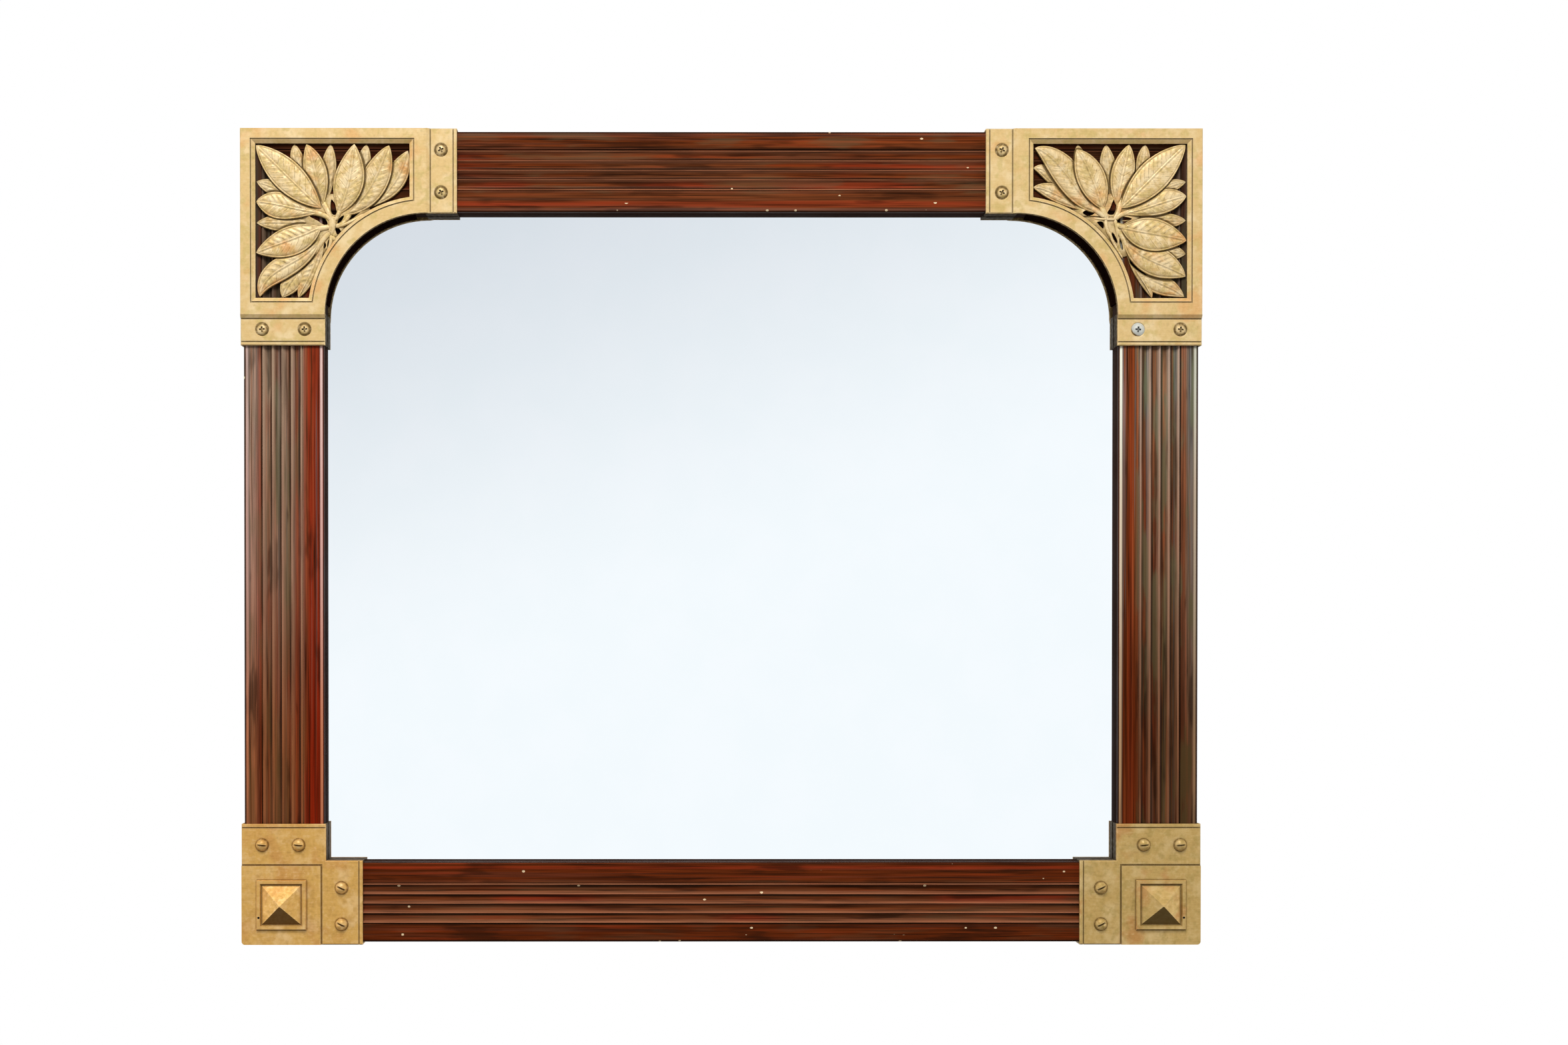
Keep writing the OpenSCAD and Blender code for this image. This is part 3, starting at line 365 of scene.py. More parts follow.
def stained_flutes(shader, feed):
    """Old stain on a fluted rail: a band beside each edge, flutes with beads between them that are rubbed and lit by
    a painted highlight, streaks along the grain, a painted highlight along the arrises, painted shade on the edges,
    sides and shut-in places, and small chips. Across, Along and Depth are in millimetres."""
    wood = bpy.context.scene.mirror_wood
    across, depth = feed["Across"], feed["Depth"]
    pitch, first, rail_w = (v / MM for v in (wood.bead_pitch, wood.first_bead, wood.rail_w))
    last = first + (BEADS - 1) * pitch
    streak, grain = drawn_out(shader, feed, 2.6, 150, 3.0, 0.6), drawn_out(shader, feed, 0.7, 60)
    figure = shader.plus(shader.times(streak, 0.65), shader.times(grain, 0.35))
    base, inner = stained_bands(shader, feed, wood, first, last, pitch)
    base = figured(shader, feed, wood, base, inner, streak, figure)
    base = beaded(shader, feed, wood, base, first, last, pitch, streak, grain, figure)

    # A band of painted highlight along each arris, weaker on the outer one, outside which the edge is painted dark as
    # shade
    from_edge = shader.math("MINIMUM", shader.minus(across, 0.9), shader.minus(rail_w, across))
    thin = shader.times(shader.rises(from_edge, 0.9, 1.5), shader.falls(from_edge, 2.6, 4.1),
                        shader.rises(drawn_out(shader, feed, 6, 120, 3.0), 0.3, 0.5, 0.5),
                        shader.rises(across, 20.0, 40.0, 0.55))
    bare = shader.mixed(shader.rises(streak, 0.35, 0.65), wood.raw, wood.brown)

    at = shader.vector(shader.times(across, 0.16), shader.times(feed["Along"], 0.11), feed["Seed"])
    cell = shader.add("TexVoronoi", {"Vector": at, "Scale": 1.0}).outputs
    often = shader.plus(shader.falls(from_edge, 3.0, 11.0, 0.12), shader.times(feed["Chips"], 0.03))
    picked = shader.math("LESS_THAN", shader.add("SeparateColor", {0: cell["Color"]}).outputs[0],
                         shader.times(often, feed["Chips"]))
    ragged = shader.plus(cell["Distance"], shader.times(grain, 0.14))
    chip = shader.times(shader.falls(ragged, 0.2, 0.24), picked, shader.falls(depth, 2.0, 5.0))
    # The edge line, the sides and the shut-in places are painted shade and the arris band a painted highlight; the
    # bare back and the chips are the wood's own colour
    base = shader.coated(
        base,
        (shader.falls(from_edge, 0.7, 1.2, 0.85), wood.umber_and_shade),
        (shader.times(thin, feed["Sheen"]), feed["Arris highlight"]),
        (shader.rises(depth, *SHADED_SIDE_DEPTH, 0.0, 0.9), wood.umber_and_shade),
        (shader.rises(depth, *BACK_DEPTH, 0.0, 0.9), bare),
        (chip, wood.chipped),
        (feed["Painted shade"], wood.umber_and_shade),
    )
    dull = shader.highest(chip, feed["Painted shade"], shader.rises(depth, *SHADED_SIDE_DEPTH))
    rough = shader.plus(shader.rises(grain, 0.2, 0.8, 0.26, 0.42), shader.times(dull, 0.5))
    return base, rough, shader.minus(shader.times(grain, 0.5), chip)


METAL_COLOURS = tuple(part.title() for part in FINISH_COLOURS)
METAL_VALUES = ("Patches", "Mottle", "Steep", "Steep from", "Steep over")
METAL_SOCKETS = {"Vector": ("Place",), "Color": METAL_COLOURS,
                 "Float": (*METAL_VALUES, "Hollow", "Edge", "Front", "Tone", "Crown highlight")}


def cast_metal(shader, feed):
    """Lacquered or aged casting: warm and pale patches, fine pitting, a pale edge band that is partly rubbed wear and
    partly painted highlight, painted crown highlights in patches, and soil that is partly patina and partly painted
    shade in the hollows, on steep sides and underneath.
    """
    place = feed["Place"]
    moved = shader.vectors("ADD", place, shader.vector(shader.times(feed["Tone"], 90.0), 0.0, 0.0))
    blotch, cloud = shader.noise(moved, 0.045), shader.noise(moved, 0.07, 3.0)
    brushed = shader.noise(shader.vectors("MULTIPLY", place, (0.12, 1.0, 1.4)), 0.7, 3.0, 0.6)
    mottle, pitting = shader.noise(moved, 0.3, 4.0, 0.6), shader.noise(place, 2.4, 3.0, 0.6)
    patchy = shader.noise(moved, 0.12)
    wear = shader.plus(shader.times(mottle, 0.65), shader.times(brushed, 0.35))
    speck = shader.rises(pitting, 0.6, 0.72, 0.0, 0.3)
    # Faces turned away from the front are darkened with soil, partly patina and partly painted shade
    turned = shader.falls(feed["Front"], shader.minus(feed["Steep from"], feed["Steep over"]), feed["Steep from"])
    steep = shader.times(turned, shader.times(feed["Steep"], shader.rises(mottle, 0.32, 0.55, 0.6)))
    soil_and_shade = shader.highest(feed["Hollow"], speck, steep)
    base = shader.coated(
        feed["Base"],
        (shader.rises(cloud, 0.45, 0.75, 0.0, 0.6), feed["Pale"]),
        (shader.rises(patchy, 0.48, 0.66, 0.0, 0.65), feed["Sallow"]),
        (shader.times(shader.rises(patchy, 0.56, 0.4, 0.1, 0.9), feed["Crown highlight"]), feed["Pale"]),
        (shader.times(shader.rises(blotch, 0.54, 0.72), feed["Patches"]), feed["Warm"]),
        (shader.times(shader.rises(wear, 0.5, 0.66), feed["Mottle"], 0.4), feed["Soil"]),
        (shader.times(shader.rises(wear, 0.5, 0.36), feed["Mottle"], 0.75), feed["Pale"]),
        (shader.times(feed["Edge"], 0.7), feed["Pale"]),
        (soil_and_shade, feed["Soil"]),
    )
    rough = shader.plus(shader.rises(mottle, 0.3, 0.7, 0.4, 0.54), shader.times(soil_and_shade, 0.4))
    return base, rough, shader.plus(shader.times(pitting, 0.4), shader.times(mottle, 0.6))


def sawn_softwood(shader, feed):
    """Planed pine: growth rings drawn out along the grain, grey patches and darker fibres."""
    place = feed["Place"]
    years = shader.times(shader.noise(place, 0.9, 1.5), 24.0)
    rings = shader.times(shader.math("PINGPONG", years, 0.5), 2.0)
    fibre = shader.noise(place, 9.0, 4.0)
    base = shader.coated(
        srgb(186, 150, 102),
        (shader.rises(rings, 0.35, 1.0, 0.0, 0.8), srgb(146, 104, 62)),
        (shader.rises(shader.noise(place, 0.5), 0.45, 0.7, 0.0, 0.5), srgb(134, 104, 74)),
        (shader.rises(fibre, 0.5, 0.8, 0.0, 0.35), srgb(110, 78, 48)),
    )
    return base, shader.plus(shader.times(fibre, 0.2), 0.6), fibre


def new_material(name, **constants):
    """A material with its Principled shader, whose plain values are set on its own sockets."""
    made = bpy.data.materials.new(name)
    made.use_nodes = True
    principled = made.node_tree.nodes["Principled BSDF"]
    for socket, value in constants.items():
        principled.inputs[socket.replace("_", " ")].default_value = value
    return made, Shader(made.node_tree), principled


def finish_material(shader, principled, pattern, bump_mm, strength):
    """Feeds a pattern group's colour, roughness and height to the Principled shader."""
    bump = shader.add("Bump", {"Strength": strength, "Distance": bump_mm * MM, "Height": pattern.outputs["Height"]})
    shader.link(pattern.outputs["Color"], principled, "Base Color")
    shader.link(pattern.outputs["Roughness"], principled, "Roughness")
    shader.link(bump.outputs[0], principled, "Normal")


def object_mm(shader, offset=(0, 0, 0), stretch=(1, 1, 1)):
    """Object coordinates in millimetres, moved and stretched by a Mapping node."""
    feeds = {"Vector": shader.add("TexCoord").outputs["Object"], "Location": offset,
             "Scale": tuple(s / MM for s in stretch)}
    return shader.add("Mapping", feeds).outputs[0]


def hollows(shader, reach_mm, low=0.45, high=0.9):
    """How shut in a place is, from 0 in the open to 1 in a crevice."""
    open_sky = shader.add("AmbientOcclusion", {"Distance": reach_mm * MM}, samples=8).outputs["AO"]
    return shader.falls(open_sky, low, high)


def placed(context, name, data):
    """A new object in the scene."""
    made = bpy.data.objects.new(name, data)
    context.scene.collection.objects.link(made)
    return made


def meshed(context, name, bm, material):
    """A new object in the scene from a bmesh, which is freed."""
    mesh = bpy.data.meshes.new(name)
    bm.to_mesh(mesh)
    bm.free()
    mesh.materials.append(material)
    return placed(context, name, mesh)


def dress(material, *names):
    """Puts one material on the CAD nodes of these names."""
    for name in names:
        mesh = NODES[name].data
        for i in range(len(mesh.materials)):
            mesh.materials[i] = material


class MirrorOperator(bpy.types.Operator):
    """Shared by the steps that dress the mirror"""
    bl_options = {"REGISTER", "UNDO"}


# Each rail: the axis across it and its sign, the axis along it, its outer edge in metres, then its outer, flute,
# inner and bead stain, the bead stain being partly a painted highlight, the painted highlight of its arris, and
# then, as in RAIL_VALUES, its other looks
RAILS = {
    "top_rail": ("Z", -1, "X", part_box("top_rail")[1].z, ("rust", "rust", "brown", "worn", "pink"),
                 (1.2, 0.05, 0.6, 0.15, 64, 4.5, 0.3, 1.0)),
    "bottom_rail": ("Z", 1, "X", -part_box("bottom_rail")[0].z, ("deep", "brown", "deep", "worn", "pink"),
                    (1.3, 0.0, 0.7, 0.1, 66, 2.0, 0.1, 1.0)),
    "left_stile": ("X", 1, "Z", -STILE_X, ("tan", "grey", "red", "rubbed", "pink"),
                   (2.2, 0.9, 0.3, 0.7, 59, 4, 0.4, 0.15)),
    "right_stile": ("X", -1, "Z", -STILE_X, ("drab", "dun", "rust", "rubbed", "cream"),
                    (2.0, 0.95, 0.35, 1.0, 60, 4, 0.8, 0.15)),
}
# How much paler each stile is made near its top, and how much darker and redder near its foot
STILE_TINT = {"left_stile": ((1.12, 1.36, 1.42), (0.8, 0.48, 0.27)),
          "right_stile": ((1.25, 1.55, 1.8), (0.58, 0.42, 0.3))}
# The heights in millimetres over which that happens
PALER_OVER, DARKER_OVER = (-220.0, -80.0), (-430.0, -210.0)
# Where the wood behind the brackets' windows begins, in millimetres from the middle and in height, and over how
# many millimetres it grows how dark, as painted shade under the castings
WINDOW_X, WINDOW_Z, WINDOW_BLEND, WINDOW_SHADE = 250.0, -50.0, 14.0, 0.66
FIRST_SEED, SEED_STEP = 1.3, 3.7


class MIRROR_OT_fluted_frame(MirrorOperator):
    """Stain and polish the four fluted rails, and darken the blocks behind the arches near black as painted shade"""
    bl_idname = "mirror.fluted_frame"
    bl_label = "Fluted frame"

    def execute(self, context):
        for seed, name in enumerate(RAILS):
            self.polish(context.scene.mirror_wood, name, FIRST_SEED + SEED_STEP * seed)
        # The blocks are near black, as painted shade under the arches
        made, shader, principled = new_material("arch_block_painted_shade", Specular_IOR_Level=0.0, Roughness=0.8)
        streaks = shader.noise(object_mm(shader, stretch=(0.5, 0.5, 0.02)), 1.0, 3.0)
        shader.link(shader.mixed(streaks, srgb(12, 6, 4), srgb(30, 14, 8)), principled, "Base Color")
        dress(made, "left_arch_block", "right_arch_block")
        return {"FINISHED"}

    def polish(self, wood, name, seed):
        """Dresses one rail. Its faint reflections are warm rather than white."""
        across_axis, sign, along_axis, outer, stains, values = RAILS[name]
        made, shader, principled = new_material(name + "_polish", Specular_IOR_Level=0.07, Roughness=0.4,
                                                Specular_Tint=(1, 0.6, 0.4, 1))
        place = shader.parts(object_mm(shader))
        across = shader.math("MULTIPLY_ADD", place[across_axis], sign, outer / MM)
        depth = shader.minus(place["Y"], FACE_Y / MM)
        pattern = shader.add("Group", node_tree=pattern_group(stained_flutes, FLUTE_SOCKETS))
        for socket, value in {"Across": across, "Along": place[along_axis], "Depth": depth}.items():
            shader.link(value, pattern, socket)
        for socket, stain in zip(FLUTE_SOCKETS["Color"], stains):
            pattern.inputs[socket].default_value = (*getattr(wood, stain), 1)
        for socket, value in zip(("Seed", *RAIL_VALUES), (seed, *values)):
            pattern.inputs[socket].default_value = value
        # Darkened as painted shade in shut-in places, and behind the brackets' windows below
        painted_shade = hollows(shader, 14, 0.12, 0.58)
        if name != "bottom_rail":
            inside = shader.minus(place["Z"], WINDOW_Z) if name in STILE_TINT else \
                shader.minus(shader.math("ABSOLUTE", place["X"]), WINDOW_X)
            behind = shader.times(shader.rises(inside, 0.0, WINDOW_BLEND, 0.0, WINDOW_SHADE),
                                  shader.falls(depth, 20.0, 24.0))
            painted_shade = shader.highest(painted_shade, behind)
        shader.link(painted_shade, pattern, "Painted shade")
        finish_material(shader, principled, pattern, 0.15, 0.3)
        if name in STILE_TINT:
            high, low = STILE_TINT[name]
            tint = shader.coated(
                (1, 1, 1),
                (shader.rises(place["Z"], *PALER_OVER), high),
                (shader.falls(place["Z"], *DARKER_OVER), low),
            )
            shader.link(shader.mixed(1.0, pattern.outputs["Color"], tint, "MULTIPLY"), principled, "Base Color")
        dress(made, name)


class MIRROR_OT_silvered_plate(MirrorOperator):
    """Silver the mirror plate"""
    bl_idname = "mirror.silvered_plate"
    bl_label = "Silvered plate"

    def execute(self, context):
        made, shader, principled = new_material("silvering", Metallic=1.0)
        haze = shader.noise(object_mm(shader), 0.02, 3.0)
        tint = shader.mixed(shader.rises(haze, 0.3, 0.7), srgb(252, 253, 254), srgb(254, 254, 255))
        shader.link(tint, principled, "Base Color")
        shader.link(shader.rises(haze, 0.3, 0.7, 0.0, 0.02), principled, "Roughness")
        dress(made, "mirror_plate")
        return {"FINISHED"}


class MIRROR_OT_pine_back(MirrorOperator):
    """Plane the backboards, the glazing blocks and the mitre tongues from pine"""
    bl_idname = "mirror.pine_back"
    bl_label = "Pine back"

    def execute(self, context):
        for name, offset in (("left_backboard", 0), ("middle_backboard", 31), ("right_backboard", 67)):
            dress(self.pine(name + "_pine", offset, (0.02, 0.02, 0.0012)), name)
        dress(self.pine("block_pine", 0, (0.01, 0.03, 0.01)), "glazing_blocks", "mitre_tongues")
        return {"FINISHED"}

    def pine(self, name, offset, stretch):
        """Pine whose pattern is moved by an offset and stretched along the grain."""
        made, shader, principled = new_material(name, Specular_IOR_Level=0.25)
        pattern = shader.add("Group", {0: object_mm(shader, (offset, 0, offset), stretch)},
                             node_tree=pattern_group(sawn_softwood, {"Vector": ("Place",)}))
        finish_material(shader, principled, pattern, 0.3, 0.4)
        return made


# What a leaf's mesh carries at each point: soil, partly patina and partly painted shade in its grooves, and painted
# shade on its sides, on the back layers and where it passes under the leaves in front, a shift of the colours, a
# painted highlight on its crown, the beat of its side veins and how much they show
DRAWN = ("hollow", "tone", "crown_highlight", "beat", "veined")
# How far a casting's edge is rounded for its pale edge band, partly rubbed wear and partly painted highlight, and
# how far in from the outer faces the metal behind the wood's face is painted dark as shade
EDGE_RADIUS, RIM_CLEAR = 0.8, (-8.0, -6.0)


def drawn_on_mesh(shader, pattern, hollow):
    """Takes the tone and the painted crown highlight that a leaf's mesh carries, and adds its soil and painted shade
    and its side veins.
    """
    soil, tone, crown_highlight, beat, veined = (shader.add("Attribute", attribute_name=n).outputs["Fac"] for n in DRAWN)
    place = object_mm(shader)
    wander = shader.math("MULTIPLY_ADD", shader.noise(place, 0.12, 1.0), 0.6, beat)
    vein = shader.times(shader.falls(shader.math("PINGPONG", wander, 0.5), 0.015, 0.1), veined,
                        shader.rises(shader.noise(place, 0.35, 3.0), 0.36, 0.6, 0.1, 0.62))
    shader.link(tone, pattern, "Tone")
    shader.link(crown_highlight, pattern, "Crown highlight")
    return shader.highest(hollow, shader.highest(soil, vein))


def metal_material(name, finish, looks, reach_mm, under=0.0, drawn=False, newer=None):
    """Cast metal in the colours of a finish, with a pale band along its edges that is partly rubbed wear and partly
    painted highlight, and darkened by patina and painted shade by how shut in each place is and how little it
    faces the front. The looks are listed in METAL_VALUES, and under is how much painted shade lies where the metal
    faces down. With drawn, the mesh carries its own soil and painted shade, tone, painted crown highlight and veins.
    A newer screw, of bright steel, stands at newer, in millimetres right and up."""
    made, shader, principled = new_material(name, Metallic=finish.metallic)
    pattern = shader.add("Group", node_tree=pattern_group(cast_metal, METAL_SOCKETS))
    shader.link(object_mm(shader), pattern, "Place")
    for socket in METAL_COLOURS:
        pattern.inputs[socket].default_value = (*getattr(finish, socket.lower()), 1)
    for socket, value in zip(METAL_VALUES, looks):
        pattern.inputs[socket].default_value = value
    # Patina in the hollows, which also stands in as painted shade
    hollow = shader.times(hollows(shader, reach_mm), 0.85)
    if drawn:
        hollow = drawn_on_mesh(shader, pattern, hollow)
    else:
        # A pale band along every edge, partly rubbed wear and partly painted highlight
        rounded = shader.add("Bevel", {"Radius": EDGE_RADIUS * MM}, samples=4).outputs[0]
        turned = shader.vectors("DOT_PRODUCT", rounded, shader.add("NewGeometry").outputs["Normal"], "Value")
        shader.link(shader.rises(turned, 0.97, 0.8), pattern, "Edge")
    facing = shader.parts(shader.add("TexCoord").outputs["Normal"])
    # Darkened as painted shade where the metal faces down
    painted_underside_shade = shader.times(shader.falls(facing["Z"], -0.5, -0.2), under)
    shader.link(shader.highest(hollow, painted_underside_shade), pattern, "Hollow")
    place = shader.parts(object_mm(shader))
    past_side = shader.plus(shader.math("ABSOLUTE", place["X"]), CORNER_X / MM)
    past_top = shader.minus(place["Z"], CORNER_Z / MM)
    past_foot = shader.minus(CAP_LOW_Z / MM, place["Z"])
    past_rim = shader.highest(past_side, past_top, past_foot)
    front = shader.highest(shader.times(facing["Y"], -1.0), shader.rises(past_rim, -1.5, -0.5))
    shader.link(front, pattern, "Front")
    finish_material(shader, principled, pattern, 0.12, 0.35)
    if newer:
        flat = shader.vectors("MULTIPLY", object_mm(shader), (1, 0, 1))
        away = shader.vectors("DISTANCE", flat, (newer[0], 0, newer[1]), "Value")
        # The steel screw's recess darkens near black as painted shade
        steel = shader.mixed(hollow, srgb(206, 206, 196), srgb(22, 22, 20))
        shown = shader.mixed(shader.falls(away, 7.5, 8.5), pattern.outputs["Color"], steel)
        shader.link(shown, principled, "Base Color")
    elif not drawn:
        # The metal behind the wood's face, away from the outer rims, is painted dark as shade
        painted_flange_shade = shader.times(shader.rises(place["Y"], FACE_Y / MM + 0.4, FACE_Y / MM + 1.1, 0.0, 0.85),
                              shader.falls(past_rim, *RIM_CLEAR))
        shader.link(shader.mixed(painted_flange_shade, pattern.outputs["Color"], srgb(34, 26, 14)), principled, "Base Color")
    return made


# The newer steel screw of the right bracket, in millimetres in from and below the bracket's outer corner
NEWER_SCREW = (54.5, 174.4)


class MIRROR_OT_gilt_brackets(MirrorOperator):
    """Gild the two top brackets and their screws"""
    bl_idname = "mirror.gilt_brackets"
    bl_label = "Gilt brackets"

    def execute(self, context):
        gilt = context.scene.mirror_gilt
        dress(metal_material("bracket_gilt", gilt, (0.5, 0.3, 0.92, 0.6, 0.35), 2.2), "left_bracket", "right_bracket")
        newer = (-CORNER_X / MM - NEWER_SCREW[0], CORNER_Z / MM - NEWER_SCREW[1])
        # The screws' domes darken hard towards their rims, as patina and painted shade in the countersinks
        dress(metal_material("bracket_screw_gilt", gilt, (0.2, 1.0, 0.9, 0.975, 0.08), 4.0, newer=newer),
              "left_bracket_screws", "right_bracket_screws")
        return {"FINISHED"}


class MIRROR_OT_brass_caps(MirrorOperator):
    """Age the brass of the bottom caps, their pyramids and their screws"""
    bl_idname = "mirror.brass_caps"
    bl_label = "Brass caps"

    def execute(self, context):
        for side, finish in (("left", context.scene.mirror_brass), ("right", context.scene.mirror_old_brass)):
            # The caps darken where they face down, as painted shade
            cast = metal_material(side + "_cap_brass", finish, (0.55, 0.4, 0.6, 0.62, 0.3), 2.2, under=0.9)
            dress(cast, side + "_corner_cap", side + "_boss")
            turned = metal_material(side + "_screw_brass", finish, (0.3, 0.8, 0.8, 0.75, 0.35), 2.5)
            dress(turned, side + "_cap_screws")
        return {"FINISHED"}


class MIRROR_OT_steel_fittings(MirrorOperator):
    """Dull the steel of the hanger plates, the small screws and the pins"""
    bl_idname = "mirror.steel_fittings"
    bl_label = "Steel fittings"

    def execute(self, context):
        made, shader, principled = new_material("dull_steel_worn", Metallic=0.9)
        place = object_mm(shader)
        rust = shader.rises(shader.noise(place, 0.25, 4.0, 0.6), 0.55, 0.7)
        shader.link(shader.mixed(rust, srgb(138, 134, 128), srgb(98, 72, 52)), principled, "Base Color")
        shader.link(shader.plus(shader.times(rust, 0.3), 0.38), principled, "Roughness")
        bump = shader.add("Bump", {"Strength": 0.3, "Distance": 0.1 * MM, "Height": shader.noise(place, 2.0, 3.0)})
        shader.link(bump.outputs[0], principled, "Normal")
        dress(made, "left_hanger_plate", "right_hanger_plate", "hanger_screws", "backboard_screws")
        made, shader, principled = new_material("pin_iron", Metallic=0.6, Roughness=0.6)
        worn = shader.noise(object_mm(shader), 1.5, 3.0)
        shader.link(shader.mixed(worn, srgb(28, 20, 12), srgb(66, 50, 34)), principled, "Base Color")
        dress(made, "boss_pins")
        return {"FINISHED"}


# Each leaf is four points of its midrib in millimetres right and down from the bracket's outer corner,
# its half widths to the left and right of the midrib, its layer, 0 in front, and how far its widest
# part is moved towards the tip
LEFT_LEAVES = [
    ((77, 62), (76.5, 48), (78, 30), (79.5, 13.5), 6.8, 6.8, 3, 1.2),
    ((60, 56), (54, 40), (48.5, 26), (47.5, 13.5), 6, 6, 3, 1.4),
    ((96, 62), (104, 46), (109, 32), (111, 13.5), 7, 7, 3, 1.4),
    ((60, 64), (44, 58), (28, 51), (13.8, 46.5), 7, 7, 3, 1.3),
    ((64, 82), (50, 84), (34, 82), (13.8, 83), 7.5, 7.5, 3, 1.3),
    ((66, 108), (52, 126), (42, 135), (37, 149), 9, 8, 2, 1.4),
    ((74, 94), (67, 118), (61, 132), (51, 149), 5.5, 9.5, 2, 1.1),
    ((95, 72), (127, 66), (141, 48), (147.5, 19.5), 12, 8, 2, 1.7),
    ((71.5, 71), (69, 50), (66, 32), (58.3, 14), 10, 10, 1, 1.1),
    ((73, 90), (60, 124), (22, 118), (17, 148), 9.5, 10.4, 1, 1.25),
    ((87, 76.5), (114, 66), (122, 38), (131, 15), 12.5, 12.2, 1, 1.15),
    ((73, 74), (54, 74), (34, 66), (14, 64.5), 11.9, 11.5, 0.5, 1.7),
    ((71, 87), (54, 96), (36, 101), (14, 109.5), 13.9, 12, 0, 1),
    ((86, 76), (95, 58), (98, 42), (100.5, 14), 13.6, 12.8, 0, 1.1),
    ((71, 70), (52, 53), (34, 34), (14, 15), 13.4, 13.6, 0, 1.05),
]
RIGHT_LEAVES = [
    ((80, 61), (80.5, 48), (84, 30), (84.5, 13.5), 7.5, 7.5, 3, 1.2),
    ((58, 54), (54, 40), (51, 26), (50, 13.5), 6, 6, 3, 1.4),
    ((101, 56), (104, 42), (108, 28), (109.5, 13.5), 6, 6, 3, 1.4),
    ((56, 64), (42, 56), (28, 49), (13.8, 46.5), 6, 6, 3, 1.3),
    ((70, 80.5), (50, 82), (32, 80.5), (13.8, 80.5), 6.8, 6.8, 3, 1.5),
    ((67, 108), (60, 126), (50, 137), (44, 149), 2.4, 6.5, 2, 1.1),
    ((64, 112), (52, 136), (34, 134), (15.5, 148), 9.5, 9, 2, 1.2),
    ((112, 62), (122, 52), (134, 34), (149, 34.5), 7, 7, 2, 1.2),
    ((98, 72), (116, 66), (132, 54), (149, 51.5), 9, 6.4, 1.5, 1.2),
    ((75, 68), (74, 50), (68, 32), (64.5, 14), 10, 10, 1, 1.1),
    ((89, 73.5), (110, 64), (123, 25), (147.5, 17), 13.5, 11.5, 1, 1.05),
    ((70, 95), (58, 116), (38, 117), (14.5, 130), 12, 14.5, 1, 1.25),
    ((52, 104), (40, 108), (28, 108), (13.8, 110), 7, 7, 3, 1.4),
    ((73, 75), (54, 74), (34, 63), (14, 59.5), 9.5, 11.5, 0.5, 1.6),
    ((72, 87), (55, 92), (38, 93), (14, 98.5), 15, 14, 0, 1.05),
    ((88, 71), (93, 54), (101, 32), (111, 18.5), 12, 13, 0, 1),
    ((72, 70), (53, 53), (36, 33), (15, 14.5), 14, 14, 0, 1.05),
]
# Each stem is four points of its line and its half thickness at each end
LEFT_STEMS = [
    ((81.5, 77.5), (81.5, 84), (80.5, 90), (79, 98), 4.0, 2.4), ((80.5, 81), (79, 76), (76.5, 71), (71, 62), 2.0, 2.8),
    ((84, 81), (86, 77), (88, 72), (91, 64), 1.7, 2.6), ((84, 85.5), (90, 86), (93.5, 82), (98, 71), 1.8, 2.2),
    ((84, 87), (92, 85.5), (99, 81.5), (111, 74), 1.5, 1.5), ((80.5, 81), (75, 76), (70, 74.5), (60, 73), 2.0, 2.8),
    ((79, 87), (74, 87.5), (69, 88), (59, 91), 2.4, 3.2), ((79, 92), (75, 95), (71, 100), (65, 111), 2.6, 2.6),
    ((80, 94), (80.5, 99), (79.5, 104), (75, 113), 2.0, 1.3), ((81, 95), (82, 97), (84, 99), (87, 99), 2.2, 1.6),
]
RIGHT_STEMS = [
    ((85, 80), (85.8, 86), (83.5, 91), (79.5, 98), 1.8, 1.6), ((84, 80), (86, 75), (88, 71), (92, 61), 2.4, 3.0),
    ((78, 80), (74.6, 76), (73, 71), (71, 60), 1.9, 2.6), ((77, 79.8), (83, 80.2), (90, 80), (98, 78), 1.4, 1.1),
    ((77, 80), (73, 75.5), (69, 74), (60, 72.5), 2.0, 2.6), ((76, 84.5), (72, 86), (68, 87), (59, 89.5), 2.4, 3.0),
    ((76, 88), (72.5, 92), (69.5, 97), (65, 108), 2.0, 2.2), ((82, 91), (80.5, 97), (77.5, 103), (70, 114), 1.5, 1.3),
    ((86, 78), (91, 73.5), (97, 69.5), (107, 65.5), 2.4, 2.2),
    ((77, 80), (75.8, 86), (75.2, 92), (73.5, 100), 1.8, 1.0),
]
# Each knot is a thin web of metal, its outline first and then the openings cast in it
LEFT_KNOT = [
    [(76, 110), (66, 108), (61, 98), (57, 88), (55, 79), (58, 71), (66, 64), (76, 58), (88, 58), (99, 62), (110, 66),
     (114, 73), (103, 81.5), (91, 91), (82, 101)],
    [(80.3, 62.5), (83.5, 66.5), (85.5, 71.5), (85, 75), (82.5, 76.3), (80.2, 74), (79.4, 69)],
    [(61, 77.3), (66, 76), (71.5, 76.8), (75.5, 80.3), (77, 84), (75, 85.2), (72, 84), (68, 81.3)],
    [(91.5, 76.8), (89.8, 80.8), (86.8, 83.4), (85.3, 82.9), (86.8, 79.6), (89.5, 77.2)],
    [(108.3, 70.8), (104, 75.3), (98.5, 79.6), (95, 80.3), (97.5, 75.8), (103.5, 71.4)],
    [(83.2, 86.6), (87.2, 88.2), (88.6, 91.3), (85.6, 93.4), (84, 90.6)],
    [(78.6, 97.2), (80, 100), (78.3, 104.6), (76.6, 104.6), (76.9, 100)],
    [(74.6, 100), (75.6, 103.3), (74, 106), (73, 105), (73.6, 102)],
]
